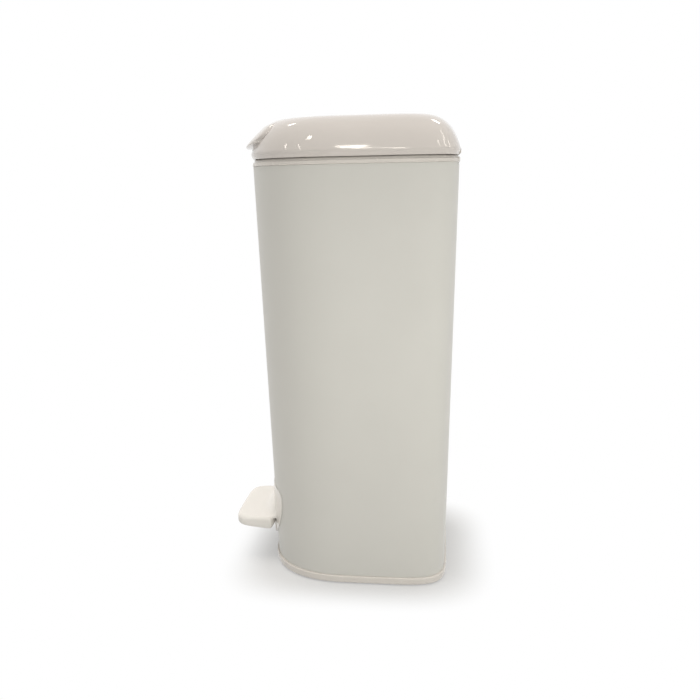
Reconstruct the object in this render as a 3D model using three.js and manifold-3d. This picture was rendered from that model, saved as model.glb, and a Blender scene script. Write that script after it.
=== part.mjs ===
// A pedal-operated nappy bin: a tapered housing on a base with a foot pedal, a hinged
// head that holds the film cassette and its two sprung flaps, and a domed lid that the
// pedal lifts through a long rod. Millimetres, +Z up, the front with the pedal towards -Y.

import * as THREE from 'three';
import { mergeVertices } from 'three/addons/utils/BufferGeometryUtils.js';
import Module from 'manifold-3d';

const wasm = await Module();
wasm.setup();

// Housing. The plan is a superellipse with a round front half and a flat rear half, and it
// narrows evenly from the rim down to the floor.
const HEIGHT = 600; // floor to the crown of the lid
const HEAD_AND_LID = 63; // rim of the body to the crown
const TOP_HALF_WIDTH = 122; // at the rim
const TOP_FRONT = 124; // reference line to the front face at the rim
const TOP_REAR = 140; // reference line to the rear face at the rim
const SIDE_TAPER = 12;
const FRONT_TAPER = 14;
const REAR_TAPER = 14;
const FRONT_POWER = 2.24; // roundness of the front half of the plan at the rim
const BASE_FRONT_POWER = 2.45; // the same at the floor, a little squarer
const REAR_POWER = 6.46; // roundness of the rear half of the plan
const WALL = 2.4; // body, lid and head walls
const FIT = 0.3; // between two pieces that seat on each other
const OVERRUN = 2; // how far a cutter runs past the face it cuts

// Base
const FOOT_SHOWS = 0.8; // rubber foot below the base
const FOOT_RADIUS = 10;
const FOOT_DEPTH = 1.9; // let into the base
const FOOT_CHAMFER = 0.6;
const RIM_STRIP_HEIGHT = 10.2; // the proud strip round the base
const RIM_STRIP_PROUD = 2.5;
const RIM_STRIP_ROUND = 1;
const BASE_FLOOR = 3.5;
const BASE_WALL = 2.4;
const SPIGOT_HEIGHT = 13; // base wall that stands inside the body
const RIB_HEIGHT = 8;
const RIB_THICKNESS = 2;
const POST_RADIUS = 5; // carries the inner floor
const INNER_FLOOR_LEVEL = 88;
const INNER_FLOOR_THICKNESS = 2.5;
const INNER_FLOOR_RUN = 1.2; // clearance to the body wall
const SCREW_SHANK_RADIUS = 1.8;
const SCREW_HEAD_RADIUS = 3.8;
const SCREW_HEAD_HEIGHT = 2.4;
const SCREW_BITE = 10; // thread length inside the boss
const BOSS_RADIUS = 5;
const BOSS_HEIGHT = 14;

// Pedal. Its pin lies low behind the front wall; the pad is pressed down, the tail lifts.
const PIVOT_BEHIND_FRONT = 50;
const PIVOT_Z = 21;
const PEDAL_PIN_RADIUS = 3;
const HUB_RADIUS = 7.5;
const HUB_HALF_WIDTH = 26;
const CHEEK_THICKNESS = 5;
const CHEEK_HALF_LENGTH = 13;
const PAD_HALF_WIDTH = 58;
const PAD_DEPTH = 47; // widest line to the front edge
const PAD_AHEAD = 8; // its widest line ahead of the body's foot
const PAD_BEHIND = 8; // pad behind its widest line
const PAD_POWER = 5.5;
const PAD_TOP = 64;
const PAD_HEIGHT = 17; // at the root
const PAD_SLOPE = 6; // how far the underside rises towards the front
const PAD_EDGE = 3.5; // rounding of the pad's rim
const PAD_HOLLOW_WALL = 3;
const NECK_HALF_WIDTH = 22;
const TAIL_HALF_WIDTH = 8;
const TAIL_NOSE_RADIUS = 4.5; // rounded end that lifts the rod
const TAIL_GAP = 0.4;
const SHIELD_HALF_WIDTH = 76;
const SHIELD_WIDEST = 95; // level of the widest line
const SHIELD_TOP = 112;
const SHIELD_BOTTOM = 25;
const SHIELD_TOP_POWER = 4.4;
const SHIELD_BOTTOM_POWER = 1.9;
const SHIELD_GAP = 0.5; // to the body's front face
const SHIELD_THIN = 1; // thickness at its top
const SHIELD_THICK = 4; // at the pad's underside
const SHIELD_FOOT = 2.6; // at its bottom
const SWEEP_RADIUS = 21; // concave sweep from the pad up into the shield
const SLOT_HALF_WIDTH = 25;
const SLOT_BOTTOM = 30;
const SLOT_TOP = 68;
const SLOT_CORNER = 6;

// Lift rod, its caps, guides and cover
const ROD_FROM_REAR = 29.6;
const ROD_RADIUS = 2.5;
const ROD_CAP_RADIUS = 9;
const ROD_CAP_HEIGHT = 6;
const ROD_FOOT_RADIUS = 7;
const ROD_FOOT_HEIGHT = 7;
const ROD_SOCKET_DEPTH = 4;
const LOST_MOTION = 0.9; // free travel between the rod and the lid's lever
const GUIDE_HEIGHT = 12;
const GUIDE_HALF_WIDTH = 8;
const GUIDE_RADIUS = 6;
const GUIDE_LOW = 130;
const GUIDE_BELOW_RIM = 57;
const COVER_HALF_WIDTH = 14;
const COVER_THICKNESS = 1.8;
const COVER_AHEAD_OF_ROD = 10.9;
const COVER_BELOW_RIM = 25;

// Head: the frame on the body's rim. Its bead is the light band under the lid.
const BEAD_HEIGHT = 6;
const BEAD_PROUD = 1;
const BEAD_ROUND = 0.7;
const SPIGOT_RUN = 1.1; // head spigot to body wall
const HEAD_SPIGOT_DEPTH = 8.3;
const NECK_INSET = 7.2;
const NECK_RISE = 4.6; // above the deck
const DECK_RISE = 11.4; // above the rim
const DECK_THICKNESS = 2.4;
const DECK_MARGIN = 30.2; // side of the bin to the well of the cassette
const WELL_FRONT_MARGIN = 29.2; // front of the bin to the well
const WELL_REAR_MARGIN = 51.2; // rear of the bin to the well, with the lever between them
const WELL_DEPTH = 28.4;
const THROAT_LEDGE = 31.8; // well wall to throat
const THROAT_CORNER = 20;
const COLLAR_DEPTH = 7; // below the well's floor
const LEVER_SLOT_HALF_WIDTH = 9.8;
const LEVER_SLOT_BEHIND = 8;

// Hinges of the lid and of the head, both along X at the rear
const KNUCKLE_RADIUS = 3;
const HINGE_PIN_RADIUS = 1.2;
const LID_HINGE_INSET = 1.6; // ahead of the body's rear face
const LID_HINGE_RISE = 12; // above the rim
const LID_HINGE_FROM_SIDE = 62; // side of the bin to the middle of a knuckle
const LID_KNUCKLE = 15;
const LID_LUG = 12;
const HEAD_HINGE_INSET = 2.8;
const HEAD_HINGE_RISE = 3;
const HEAD_HINGE_X = 25;
const HEAD_KNUCKLE = 9.2;
const HEAD_LUG = 6;
const HEAD_LUG_DROP = 29; // how far the lugs run down inside the body
const LUG_GAP = 0.4;
const REAR_RELIEF_FROM_SIDE = 34;
const REAR_RELIEF_DEPTH = 2.4;

// Flaps under the throat
const FLAP_DROP = 4; // pins below the collar
const FLAP_AXIS_OUT = 1; // pins outside the throat
const FLAP_THICKNESS = 2;
const FLAP_END_GAP = 4; // ends of a flap to the throat's ends
const FLAP_SLIT = 0.9; // half of the slit between the two flaps
const FLAP_HINGE_CLEAR = 6; // plate to pin
const FLAP_CORNER = 14;
const FLAP_BARREL_RADIUS = 3.2;
const FLAP_BARREL_GAP = 8; // ends of the barrel to the ends of the flap
const FLAP_PIN_RADIUS = 1.5;
const FLAP_LUG_THICKNESS = 5;
const FLAP_LUG_GAP = 2;
const FLAP_LUG_RADIUS = 4;

// Film cassette and film
const CASSETTE_RUN = 0.8; // to the well
const CASSETTE_LEDGE = 4.5; // throat to the cassette's bore
const CASSETTE_WALL = 1.5;
const CASSETTE_BELOW_DECK = 3.4;
const PACK_RUN = 1; // film pack to the tray walls
const PACK_BELOW_TOP = 5;
const PACK_PLEATS = 3;
const PACK_PLEAT_DEPTH = 1.6;
const FILM_MOUTH = 5.5; // tray's inner wall to the cover ring
const COVER_RING_THICKNESS = 2;
const FILM = 1; // film drawn thick enough to be a solid
const FUNNEL_INSET = 2.5;
const FUNNEL_DROP = 4;
const FUNNEL_ABOVE_FLAPS = 5;
const SLIT_END_GAP = 6;
const TAIL_LENGTH = 61; // film hanging below the flaps

// Film cutter under the front of the deck
const CUTTER_GAP = 2.2; // to the well's wall
const CUTTER_HALF_LENGTH = 22;
const CUTTER_HALF_DEPTH = 6;
const CUTTER_DEPTH = 24.4; // below the deck
const CUTTER_SLOT_HALF = 1.4;
const CUTTER_SLOT_BELOW = 10.4; // end of the slot below the deck
const BLADE_THICKNESS = 0.6;
const BLADE_HEIGHT = 8;

// Lid
const SEAM = 2.1; // bead to the lid's lower edge
const LID_SKIRT = 6.6; // lower edge to the widest line
const LID_OVERHANG = 2;
const LID_TUCK = 2.2; // lower edge drawn in
const LID_SLOPE = 5.2; // how much lower the dome is at the front
const LID_PEAK = 35; // how far behind the reference line the slope begins
const DOME_LEAN = 10; // how far the sides lean in up to the top
const DOME_ROUND = 40; // plan width of the rounded edge
const CROWN = 1; // rise of the top over the rounded edge
const LINER_RISE = 16.1; // above the lid's lower edge
const LINER_THICKNESS = 2.2;
const LINER_RUN = 0.7;
const BEAK_HALF_WIDTH = 84;
const BEAK_LIP_HALF_WIDTH = 70;
const BEAK_SHOULDER = 24;
const BEAK_PROUD = 4;
const BEAK_BELOW_CROWN = 10;
const BEAK_BLEND = 8;
const LIP_RISE = 16.1; // above the lid's lower edge
const LIP_REACH = 5.6;
const LIP_FLARE = 11.5; // height over which the lip flares out
const LIP_THICKNESS = 2.4;
const SEAL_MARGIN = 5.7; // well to the middle of the seal
const SEAL_HALF_WIDTH = 2.2;
const SEAL_GAP = 0.4; // over the deck
const SEAL_HEADROOM = 4.5; // under the liner
const CARRIER_WALL = 2;
const CARRIER_GAP = 4.6; // over the deck
const LEVER_HALF_WIDTH = 4;
const LEVER_FOOT_RADIUS = 4;
const LEVER_FOOT_BEHIND_ROD = 3.6;
const LEVER_FOOT_BELOW_RIM = 9;
const LEVER_ROOT_HALF = 10;
const LID_SCREW_OUT = 6.2; // outside the seal's groove

// Facets
const PLAN_FACETS = 40;
const ROUND_FACETS = 28;
const SMALL_FACETS = 12;
const SCREW_FACETS = 8; // screws, their bosses and posts

// Levels and sizes that follow from the ones above
const rimLevel = HEIGHT - HEAD_AND_LID;
const baseHalfWidth = TOP_HALF_WIDTH - SIDE_TAPER;
const baseFront = TOP_FRONT - FRONT_TAPER;
const baseRear = TOP_REAR - REAR_TAPER;
const baseBottom = FOOT_SHOWS;
const baseFloorTop = baseBottom + BASE_FLOOR;
const stripTop = baseBottom + RIM_STRIP_HEIGHT;
const bodyBottom = stripTop + FIT;
const baseSpigotTop = stripTop + SPIGOT_HEIGHT;
const innerFloorTop = INNER_FLOOR_LEVEL + INNER_FLOOR_THICKNESS;

const pivotY = PIVOT_BEHIND_FRONT - baseFront;
const padWidestY = -baseFront - PAD_AHEAD;
const padBottom = PAD_TOP - PAD_HEIGHT;
const padFront = PAD_DEPTH - padWidestY;

const beadBottom = rimLevel + FIT;
const beadTop = beadBottom + BEAD_HEIGHT;
const deckTop = rimLevel + DECK_RISE;
const neckTop = deckTop + NECK_RISE;
const wellRadius = Math.min(
  TOP_HALF_WIDTH - DECK_MARGIN,
  (TOP_FRONT + TOP_REAR - WELL_FRONT_MARGIN - WELL_REAR_MARGIN) / 2,
);
const wellY = wellRadius + WELL_FRONT_MARGIN - TOP_FRONT; // axis of the cassette and the throat
const wellFloor = deckTop - WELL_DEPTH;
const throatHalf = wellRadius - THROAT_LEDGE;
const collarBottom = wellFloor - COLLAR_DEPTH;

const lidHingeY = TOP_REAR - LID_HINGE_INSET;
const lidHingeZ = rimLevel + LID_HINGE_RISE;
const lidHingeX = TOP_HALF_WIDTH - LID_HINGE_FROM_SIDE;
const headHingeY = TOP_REAR - HEAD_HINGE_INSET;
const headHingeZ = rimLevel + HEAD_HINGE_RISE;
const headLugRoot = rimLevel - HEAD_LUG_DROP;
const reliefLevel = rimLevel - REAR_RELIEF_DEPTH;

const flapAxisX = throatHalf + FLAP_AXIS_OUT;
const flapAxisZ = collarBottom - FLAP_DROP;
const flapHalfLength = throatHalf - FLAP_END_GAP;
const flapEdgeX = flapAxisX - FLAP_HINGE_CLEAR;
const flapBarrelHalf = flapHalfLength - FLAP_BARREL_GAP;

const cassetteRadius = wellRadius - CASSETTE_RUN;
const cassetteBore = throatHalf + CASSETTE_LEDGE;
const cassetteTop = deckTop - CASSETTE_BELOW_DECK;
const packTop = cassetteTop - PACK_BELOW_TOP;
const coverRingBore = cassetteBore + FILM_MOUTH;
const funnelRadius = cassetteBore - FUNNEL_INSET;
const funnelTop = cassetteTop - FUNNEL_DROP;
const funnelBottom = flapAxisZ + FUNNEL_ABOVE_FLAPS;
const slitHalfLength = flapHalfLength - SLIT_END_GAP;
const tailEnd = flapAxisZ - TAIL_LENGTH;
const cutterY = wellY - wellRadius - WALL - CUTTER_GAP - CUTTER_HALF_DEPTH;
const cutterBottom = deckTop - CUTTER_DEPTH;
const cutterSlotTop = deckTop - CUTTER_SLOT_BELOW;

const lidEdgeLevel = beadTop + SEAM;
const lidWidest = lidEdgeLevel + LID_SKIRT;
const lidRear = TOP_REAR + LID_OVERHANG;
const domeTop = HEIGHT - CROWN;
const linerLevel = lidEdgeLevel + LINER_RISE;
const lipLevel = lidEdgeLevel + LIP_RISE;
const beakTop = HEIGHT - BEAK_BELOW_CROWN;
const sealRadius = wellRadius + SEAL_MARGIN;
const sealBottom = deckTop + SEAL_GAP;
const sealTop = linerLevel - SEAL_HEADROOM;
const carrierBottom = deckTop + CARRIER_GAP;

const rodY = TOP_REAR - ROD_FROM_REAR;
const leverFootY = rodY + LEVER_FOOT_BEHIND_ROD;
const leverFootZ = rimLevel - LEVER_FOOT_BELOW_RIM;
const leverFootBottom = leverFootZ - LEVER_FOOT_RADIUS;
const leverSlotFront = rodY - LEVER_SLOT_HALF_WIDTH;
const leverSlotRear = leverFootY + LEVER_SLOT_BEHIND;
const rodCapTop = leverFootBottom - LOST_MOTION;
const rodFootBottom = PIVOT_Z + TAIL_NOSE_RADIUS + TAIL_GAP;
const guideHigh = rimLevel - GUIDE_BELOW_RIM;
const coverFrontY = rodY - COVER_AHEAD_OF_ROD;
const coverTop = rimLevel - COVER_BELOW_RIM;

// Colours
const finishes = {
  body: { color: '#cfcdc6', roughness: 0.42 },
  gloss: { color: '#ded8d2', roughness: 0.16 },
  bead: { color: '#d6d0c8', roughness: 0.3 },
  pad: { color: '#ebe7e1', roughness: 0.28 },
  inner: { color: '#d9d8d4', roughness: 0.5 },
  cassette: { color: '#b9cfd8', roughness: 0.45 },
  film: { color: '#d5e6ec', roughness: 0.35 },
  rubber: { color: '#3b3b3d', roughness: 0.85 },
  seal: { color: '#8f9296', roughness: 0.8 },
  steel: { color: '#b4b6b8', roughness: 0.3, metalness: 1 },
};

// Solids

function signedVolume(points, faces) {
  const [a, b, c] = [new THREE.Vector3(), new THREE.Vector3(), new THREE.Vector3()];
  let total = 0;
  for (let i = 0; i < faces.length; i += 3) {
    a.fromArray(points, faces[i] * 3);
    b.fromArray(points, faces[i + 1] * 3);
    c.fromArray(points, faces[i + 2] * 3);
    total += a.dot(b.cross(c));
  }
  return total;
}

// Turns a closed mesh into a solid whose faces point outwards.
function toSolid(geometry) {
  const bare = geometry.clone();
  bare.deleteAttribute('normal');
  bare.deleteAttribute('uv');
  const merged = mergeVertices(bare);
  const points = merged.attributes.position.array;
  const all = merged.index.array;
  const faces = [];
  for (let i = 0; i < all.length; i += 3) {
    const [a, b, c] = [all[i], all[i + 1], all[i + 2]];
    if (a !== b && b !== c && c !== a) faces.push(a, b, c);
  }
  if (signedVolume(points, faces) < 0) faces.reverse();
  return new wasm.Manifold(new wasm.Mesh({
    numProp: 3,
    vertProperties: new Float32Array(points),
    triVerts: new Uint32Array(faces),
  }));
}

function toGeometry(solid) {
  const mesh = solid.getMesh();
  const geometry = new THREE.BufferGeometry();
  const points = new THREE.BufferAttribute(new Float32Array(mesh.vertProperties), 3);
  geometry.setAttribute('position', points);
  geometry.setIndex(new THREE.BufferAttribute(new Uint32Array(mesh.triVerts), 1));
  geometry.computeVertexNormals();
  return geometry;
}

function joinAll(first, ...others) {
  return others.flat().reduce((solid, other) => solid.add(other), first);
}

function cutAll(first, ...others) {
  return others.flat().reduce((solid, other) => solid.subtract(other), first);
}

// A skin over rings with equal numbers of points. Open rings are closed by a flat cap at
// each end; with joined set, the last ring meets the first one.
function loft(rings, joined = false) {
  const count = rings[0].length;
  const points = rings.flat();
  const faces = [];
  const bands = joined ? rings.length : rings.length - 1;
  for (let band = 0; band < bands; band++) {
    const low = band * count;
    const high = ((band + 1) % rings.length) * count;
    for (let i = 0; i < count; i++) {
      const next = (i + 1) % count;
      faces.push(low + i, low + next, high + next, low + i, high + next, high + i);
    }
  }
  if (!joined) {
    const ends = [[0, true], [(rings.length - 1) * count, false]];
    for (const [start, facesDown] of ends) {
      const middle = new THREE.Vector3();
      for (let i = 0; i < count; i++) middle.add(points[start + i]);
      points.push(middle.divideScalar(count));
      for (let i = 0; i < count; i++) {
        const pair = [start + i, start + ((i + 1) % count)];
        if (facesDown) pair.reverse();
        faces.push(...pair, points.length - 1);
      }
    }
  }
  const geometry = new THREE.BufferGeometry().setFromPoints(points);
  geometry.setIndex(faces);
  return toSolid(geometry);
}

function box(fromX, toX, fromY, toY, fromZ, toZ) {
  const block = new THREE.BoxGeometry(toX - fromX, toY - fromY, toZ - fromZ);
  block.translate((fromX + toX) / 2, (fromY + toY) / 2, (fromZ + toZ) / 2);
  return toSolid(block);
}

const X = new THREE.Vector3(1, 0, 0);
const Y = new THREE.Vector3(0, 1, 0);
const Z = new THREE.Vector3(0, 0, 1);

// A flat outline pushed along one axis: an outline in (y, z) along X, in (x, z) along Y
// or in (x, y) along Z.
const prismFrames = { x: [Y, Z, X], y: [X, Z, Y], z: [X, Y, Z] };

function prism(shape, axis, from, to) {
  const block = new THREE.ExtrudeGeometry(shape, {
    depth: to - from, bevelEnabled: false, curveSegments: SMALL_FACETS / 4,
  });
  block.translate(0, 0, from);
  block.applyMatrix4(new THREE.Matrix4().makeBasis(...prismFrames[axis]));
  return toSolid(block);
}

function polygon(points) {
  return new THREE.Shape(points.map(([u, v]) => new THREE.Vector2(u, v)));
}

function roundedRectangle(fromU, toU, fromV, toV, corner) {
  const shape = new THREE.Shape();
  shape.absarc(toU - corner, fromV + corner, corner, -Math.PI / 2, 0);
  shape.absarc(toU - corner, toV - corner, corner, 0, Math.PI / 2);
  shape.absarc(fromU + corner, toV - corner, corner, Math.PI / 2, Math.PI);
  shape.absarc(fromU + corner, fromV + corner, corner, Math.PI, Math.PI * 1.5);
  return shape;
}

// A round bar along one axis through (u, v) of the plane that the axis is square to.
function bar(axis, u, v, radius, from, to, facets = SMALL_FACETS) {
  const round = new THREE.CylinderGeometry(radius, radius, to - from, facets);
  round.rotateX(Math.PI / 2);
  round.translate(u, v, (from + to) / 2);
  round.applyMatrix4(new THREE.Matrix4().makeBasis(...prismFrames[axis]));
  return toSolid(round);
}

// An upright round post, boss or screw hole.
function post(x, y, radius, from, to) {
  return bar('z', x, y, radius, from, to, SCREW_FACETS);
}

// A round piece about the vertical line through (x, y), from a profile of [radius, level].
function turned(profile, x = 0, y = 0, facets = ROUND_FACETS) {
  const outline = profile.map(([radius, level]) => new THREE.Vector2(radius, level));
  const round = new THREE.LatheGeometry(outline, facets);
  round.rotateX(Math.PI / 2);
  round.translate(x, y, 0);
  return toSolid(round);
}

function tube(inner, outer, from, to, x, y, facets = ROUND_FACETS) {
  const profile = [[inner, from], [outer, from], [outer, to], [inner, to], [inner, from]];
  return turned(profile, x, y, facets);
}

// The housing's plan at a level, moved outwards or inwards by a margin.
function planAt(level, outward = 0) {
  const rise = Math.min(level, rimLevel) / rimLevel;
  return {
    halfWidth: THREE.MathUtils.lerp(baseHalfWidth, TOP_HALF_WIDTH, rise) + outward,
    front: THREE.MathUtils.lerp(baseFront, TOP_FRONT, rise) + outward,
    rear: THREE.MathUtils.lerp(baseRear, TOP_REAR, rise) + outward,
    frontPower: THREE.MathUtils.lerp(BASE_FRONT_POWER, FRONT_POWER, rise),
  };
}

function planPoint(plan, turn, level) {
  const [across, along] = [Math.cos(turn), Math.sin(turn)];
  const power = 2 / (along < 0 ? plan.frontPower : REAR_POWER);
  const depth = along < 0 ? plan.front : plan.rear;
  return new THREE.Vector3(
    plan.halfWidth * Math.sign(across) * Math.abs(across) ** power,
    depth * Math.sign(along) * Math.abs(along) ** power,
    level,
  );
}

function planRing(level, outward) {
  const plan = planAt(level, outward);
  const turns = Array.from({ length: PLAN_FACETS }, (_, i) => (i * 2 * Math.PI) / PLAN_FACETS);
  return turns.map((turn) => planPoint(plan, turn, level));
}

// Rings of the housing's plan from a profile of [outward, level].
function planRings(profile) {
  return profile.map(([outward, level]) => planRing(level, outward));
}

// Where the front face of the housing lies at x, moved outwards by a margin.
function frontFaceY(x, level, outward) {
  const plan = planAt(level, outward);
  const share = Math.min(Math.abs(x) / plan.halfWidth, 1);
  return -plan.front * (1 - share ** plan.frontPower) ** (1 / plan.frontPower);
}

function rearWallInside(level) {
  return planAt(level, -WALL).rear;
}

// Places for the four base screws, feet and posts, each a share of the base's plan.
const screwPlaceShare = [0.62, 0.62];
const footPlaceShare = [0.68, 0.5];
const postPlaceShare = [0.4, 0.72];

function fourPlaces([acrossShare, alongShare]) {
  const [x, front, rear] = [baseHalfWidth, baseFront, baseRear];
  return [
    [-x * acrossShare, -front * alongShare],
    [x * acrossShare, -front * alongShare],
    [x * acrossShare, rear * alongShare],
    [-x * acrossShare, rear * alongShare],
  ];
}

const screwPlaces = fourPlaces(screwPlaceShare);
const footPlaces = fourPlaces(footPlaceShare);
const postPlaces = fourPlaces(postPlaceShare);

// Base

function makeBase() {
  const spigotOutside = -WALL - FIT;
  const spigotInside = spigotOutside - BASE_WALL;
  const tray = loft(planRings([
    [RIM_STRIP_PROUD - RIM_STRIP_ROUND, baseBottom],
    [RIM_STRIP_PROUD, baseBottom + RIM_STRIP_ROUND],
    [RIM_STRIP_PROUD, stripTop - RIM_STRIP_ROUND],
    [RIM_STRIP_PROUD - RIM_STRIP_ROUND / 3, stripTop - RIM_STRIP_ROUND / 3],
    [RIM_STRIP_PROUD - RIM_STRIP_ROUND, stripTop],
    [spigotOutside, stripTop],
    [spigotOutside, baseSpigotTop],
    [spigotInside, baseSpigotTop],
    [spigotInside, baseFloorTop],
  ]));
  const root = baseBottom + BASE_FLOOR / 2;
  const cheekTop = PIVOT_Z + HUB_RADIUS + FIT;
  const cheekInside = HUB_HALF_WIDTH + FIT;
  const cheekShape = roundedRectangle(
    pivotY - CHEEK_HALF_LENGTH, pivotY + CHEEK_HALF_LENGTH, root, cheekTop, HUB_RADIUS,
  );
  const cheekFoot = polygon([
    [pivotY - CHEEK_HALF_LENGTH, root], [pivotY + CHEEK_HALF_LENGTH, root],
    [pivotY + CHEEK_HALF_LENGTH, PIVOT_Z], [pivotY - CHEEK_HALF_LENGTH, PIVOT_Z],
  ]);
  const cheeks = [-cheekInside - CHEEK_THICKNESS, cheekInside].flatMap((start) => [
    prism(cheekShape, 'x', start, start + CHEEK_THICKNESS),
    prism(cheekFoot, 'x', start, start + CHEEK_THICKNESS),
  ]);
  const postTop = INNER_FLOOR_LEVEL - FIT;
  const posts = postPlaces.map(([x, y]) => post(x, y, POST_RADIUS, root, postTop));
  const towers = screwPlaces.map(([x, y]) => post(x, y, BOSS_RADIUS, root, baseSpigotTop));
  const ribs = [-1, 1].map((side) => {
    const x = side * postPlaces[1][0];
    const half = RIB_THICKNESS / 2;
    const [front, rear] = [postPlaces[0][1], postPlaces[2][1]];
    return box(x - half, x + half, front, rear, root, baseFloorTop + RIB_HEIGHT);
  });
  const wells = footPlaces.map(([x, y]) => (
    bar('z', x, y, FOOT_RADIUS + FIT, baseBottom - OVERRUN, baseBottom + FOOT_DEPTH + FIT)
  ));
  const holes = screwPlaces.map(([x, y]) => {
    const reach = baseSpigotTop + OVERRUN;
    return post(x, y, SCREW_SHANK_RADIUS + FIT, baseBottom - OVERRUN, reach);
  });
  const sinks = screwPlaces.map(([x, y]) => (
    post(x, y, SCREW_HEAD_RADIUS + FIT, baseBottom - OVERRUN, baseBottom + SCREW_HEAD_HEIGHT)
  ));
  const pinEnd = cheekInside + CHEEK_THICKNESS + OVERRUN;
  const pinHole = bar('x', pivotY, PIVOT_Z, PEDAL_PIN_RADIUS + FIT, -pinEnd, pinEnd);
  return cutAll(joinAll(tray, cheeks, posts, towers, ribs), wells, holes, sinks, pinHole);
}

function makeFoot() {
  const top = baseBottom + FOOT_DEPTH;
  return turned([
    [0, 0], [FOOT_RADIUS - FOOT_CHAMFER, 0], [FOOT_RADIUS, FOOT_CHAMFER],
    [FOOT_RADIUS, top], [0, top],
  ], 0, 0, SMALL_FACETS);
}

const screwFaceShare = 0.75; // flat face of a screw's head

// A pan-head screw that points up, with its head's face at level 0.
function makeScrew(grip) {
  const tip = grip + SCREW_BITE;
  const under = SCREW_HEAD_HEIGHT - FIT;
  return turned([
    [0, 0], [SCREW_HEAD_RADIUS * screwFaceShare, 0], [SCREW_HEAD_RADIUS, under / 2],
    [SCREW_HEAD_RADIUS, under], [SCREW_SHANK_RADIUS, under],
    [SCREW_SHANK_RADIUS, tip - SCREW_SHANK_RADIUS], [0, tip],
  ], 0, 0, SCREW_FACETS);
}

function makeInnerFloor() {
  const edge = -WALL - INNER_FLOOR_RUN;
  const plate = loft(planRings([[edge, INNER_FLOOR_LEVEL], [edge, innerFloorTop]]));
  const notchFront = coverFrontY - FIT;
  const half = COVER_HALF_WIDTH + FIT;
  const notch = box(
    -half, half, notchFront, baseRear + OVERRUN,
    INNER_FLOOR_LEVEL - OVERRUN, innerFloorTop + OVERRUN,
  );
  return plate.subtract(notch);
}

// Body

// X ranges of the two lugs beside a knuckle, on one side of the middle.
function lugRanges(middle, knuckle, lug, side) {
  const inner = middle - knuckle / 2 - LUG_GAP;
  const outer = middle + knuckle / 2 + LUG_GAP;
  const ranges = [[inner - lug, inner], [outer, outer + lug]];
  return ranges.map(([a, b]) => (side > 0 ? [a, b] : [-b, -a]));
}

function headLugRanges() {
  return [-1, 1].flatMap((side) => lugRanges(HEAD_HINGE_X, HEAD_KNUCKLE, HEAD_LUG, side));
}

function lidLugRanges() {
  return [-1, 1].flatMap((side) => lugRanges(lidHingeX, LID_KNUCKLE, LID_LUG, side));
}

function knuckleRange(middle, knuckle, side) {
  const [a, b] = [middle - knuckle / 2, middle + knuckle / 2];
  return side > 0 ? [a, b] : [-b, -a];
}

const lugBackShare = 0.7; // back of a lug's stem on its round end

function makeBody() {
  const tubeWall = loft(planRings([
    [0, bodyBottom], [0, rimLevel], [-WALL, rimLevel], [-WALL, bodyBottom],
  ]), true);
  const slotShape = roundedRectangle(
    -SLOT_HALF_WIDTH, SLOT_HALF_WIDTH, SLOT_BOTTOM, SLOT_TOP, SLOT_CORNER,
  );
  const slot = prism(slotShape, 'y', -baseFront - TOP_FRONT, -baseFront / 2);
  const reliefHalf = TOP_HALF_WIDTH - REAR_RELIEF_FROM_SIDE;
  const relief = box(
    -reliefHalf, reliefHalf, TOP_REAR / 2, TOP_REAR + OVERRUN,
    reliefLevel, rimLevel + OVERRUN,
  );
  const lugStem = polygon([
    [headHingeY - KNUCKLE_RADIUS, headHingeZ],
    [rearWallInside(headLugRoot), headLugRoot],
    [planAt(reliefLevel, -WALL / 4).rear, reliefLevel],
    [headHingeY + KNUCKLE_RADIUS * lugBackShare, headHingeZ],
  ]);
  const lugs = headLugRanges().map(([from, to]) => (
    prism(lugStem, 'x', from, to).add(bar('x', headHingeY, headHingeZ, KNUCKLE_RADIUS, from, to))
  ));
  const bossBottom = baseSpigotTop + FIT;
  const bosses = screwPlaces.map(([x, y]) => {
    const boss = post(x, y, BOSS_RADIUS, bossBottom, bossBottom + BOSS_HEIGHT);
    const web = box(
      Math.min(x, Math.sign(x) * baseHalfWidth), Math.max(x, Math.sign(x) * baseHalfWidth),
      y - RIB_THICKNESS / 2, y + RIB_THICKNESS / 2, bossBottom, bossBottom + BOSS_HEIGHT,
    );
    return boss.add(web);
  });
  const within = loft(planRings([[-WALL / 2, bodyBottom], [-WALL / 2, rimLevel]]));
  const trimmedBosses = bosses.map((boss) => boss.intersect(within));
  const pilots = screwPlaces.map(([x, y]) => (
    post(x, y, SCREW_SHANK_RADIUS + FIT, bossBottom - OVERRUN, bossBottom + SCREW_BITE + FIT)
  ));
  const pinHoles = [-1, 1].map((side) => {
    const reach = HEAD_HINGE_X + HEAD_KNUCKLE + HEAD_LUG;
    const [from, to] = side > 0 ? [0, reach] : [-reach, 0];
    return bar('x', headHingeY, headHingeZ, HINGE_PIN_RADIUS + FIT, from, to);
  });
  return cutAll(joinAll(cutAll(tubeWall, slot, relief), lugs, trimmedBosses), pilots, pinHoles);
}

// Pedal

// A ring of the pad; lift is how far its front end stands above the level.
function padRing(level, inset, lift = 0) {
  const count = PLAN_FACETS / 2;
  return Array.from({ length: count }, (_, i) => {
    const turn = (i * 2 * Math.PI) / count;
    const [across, along] = [Math.cos(turn), Math.sin(turn)];
    const power = 2 / PAD_POWER;
    const depth = (along < 0 ? PAD_DEPTH : PAD_BEHIND) - inset;
    const y = padWidestY + depth * Math.sign(along) * Math.abs(along) ** power;
    const forwardShare = THREE.MathUtils.clamp((padWidestY - y) / PAD_DEPTH, 0, 1);
    return new THREE.Vector3(
      (PAD_HALF_WIDTH - inset) * Math.sign(across) * Math.abs(across) ** power,
      y,
      level + lift * forwardShare,
    );
  });
}

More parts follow.
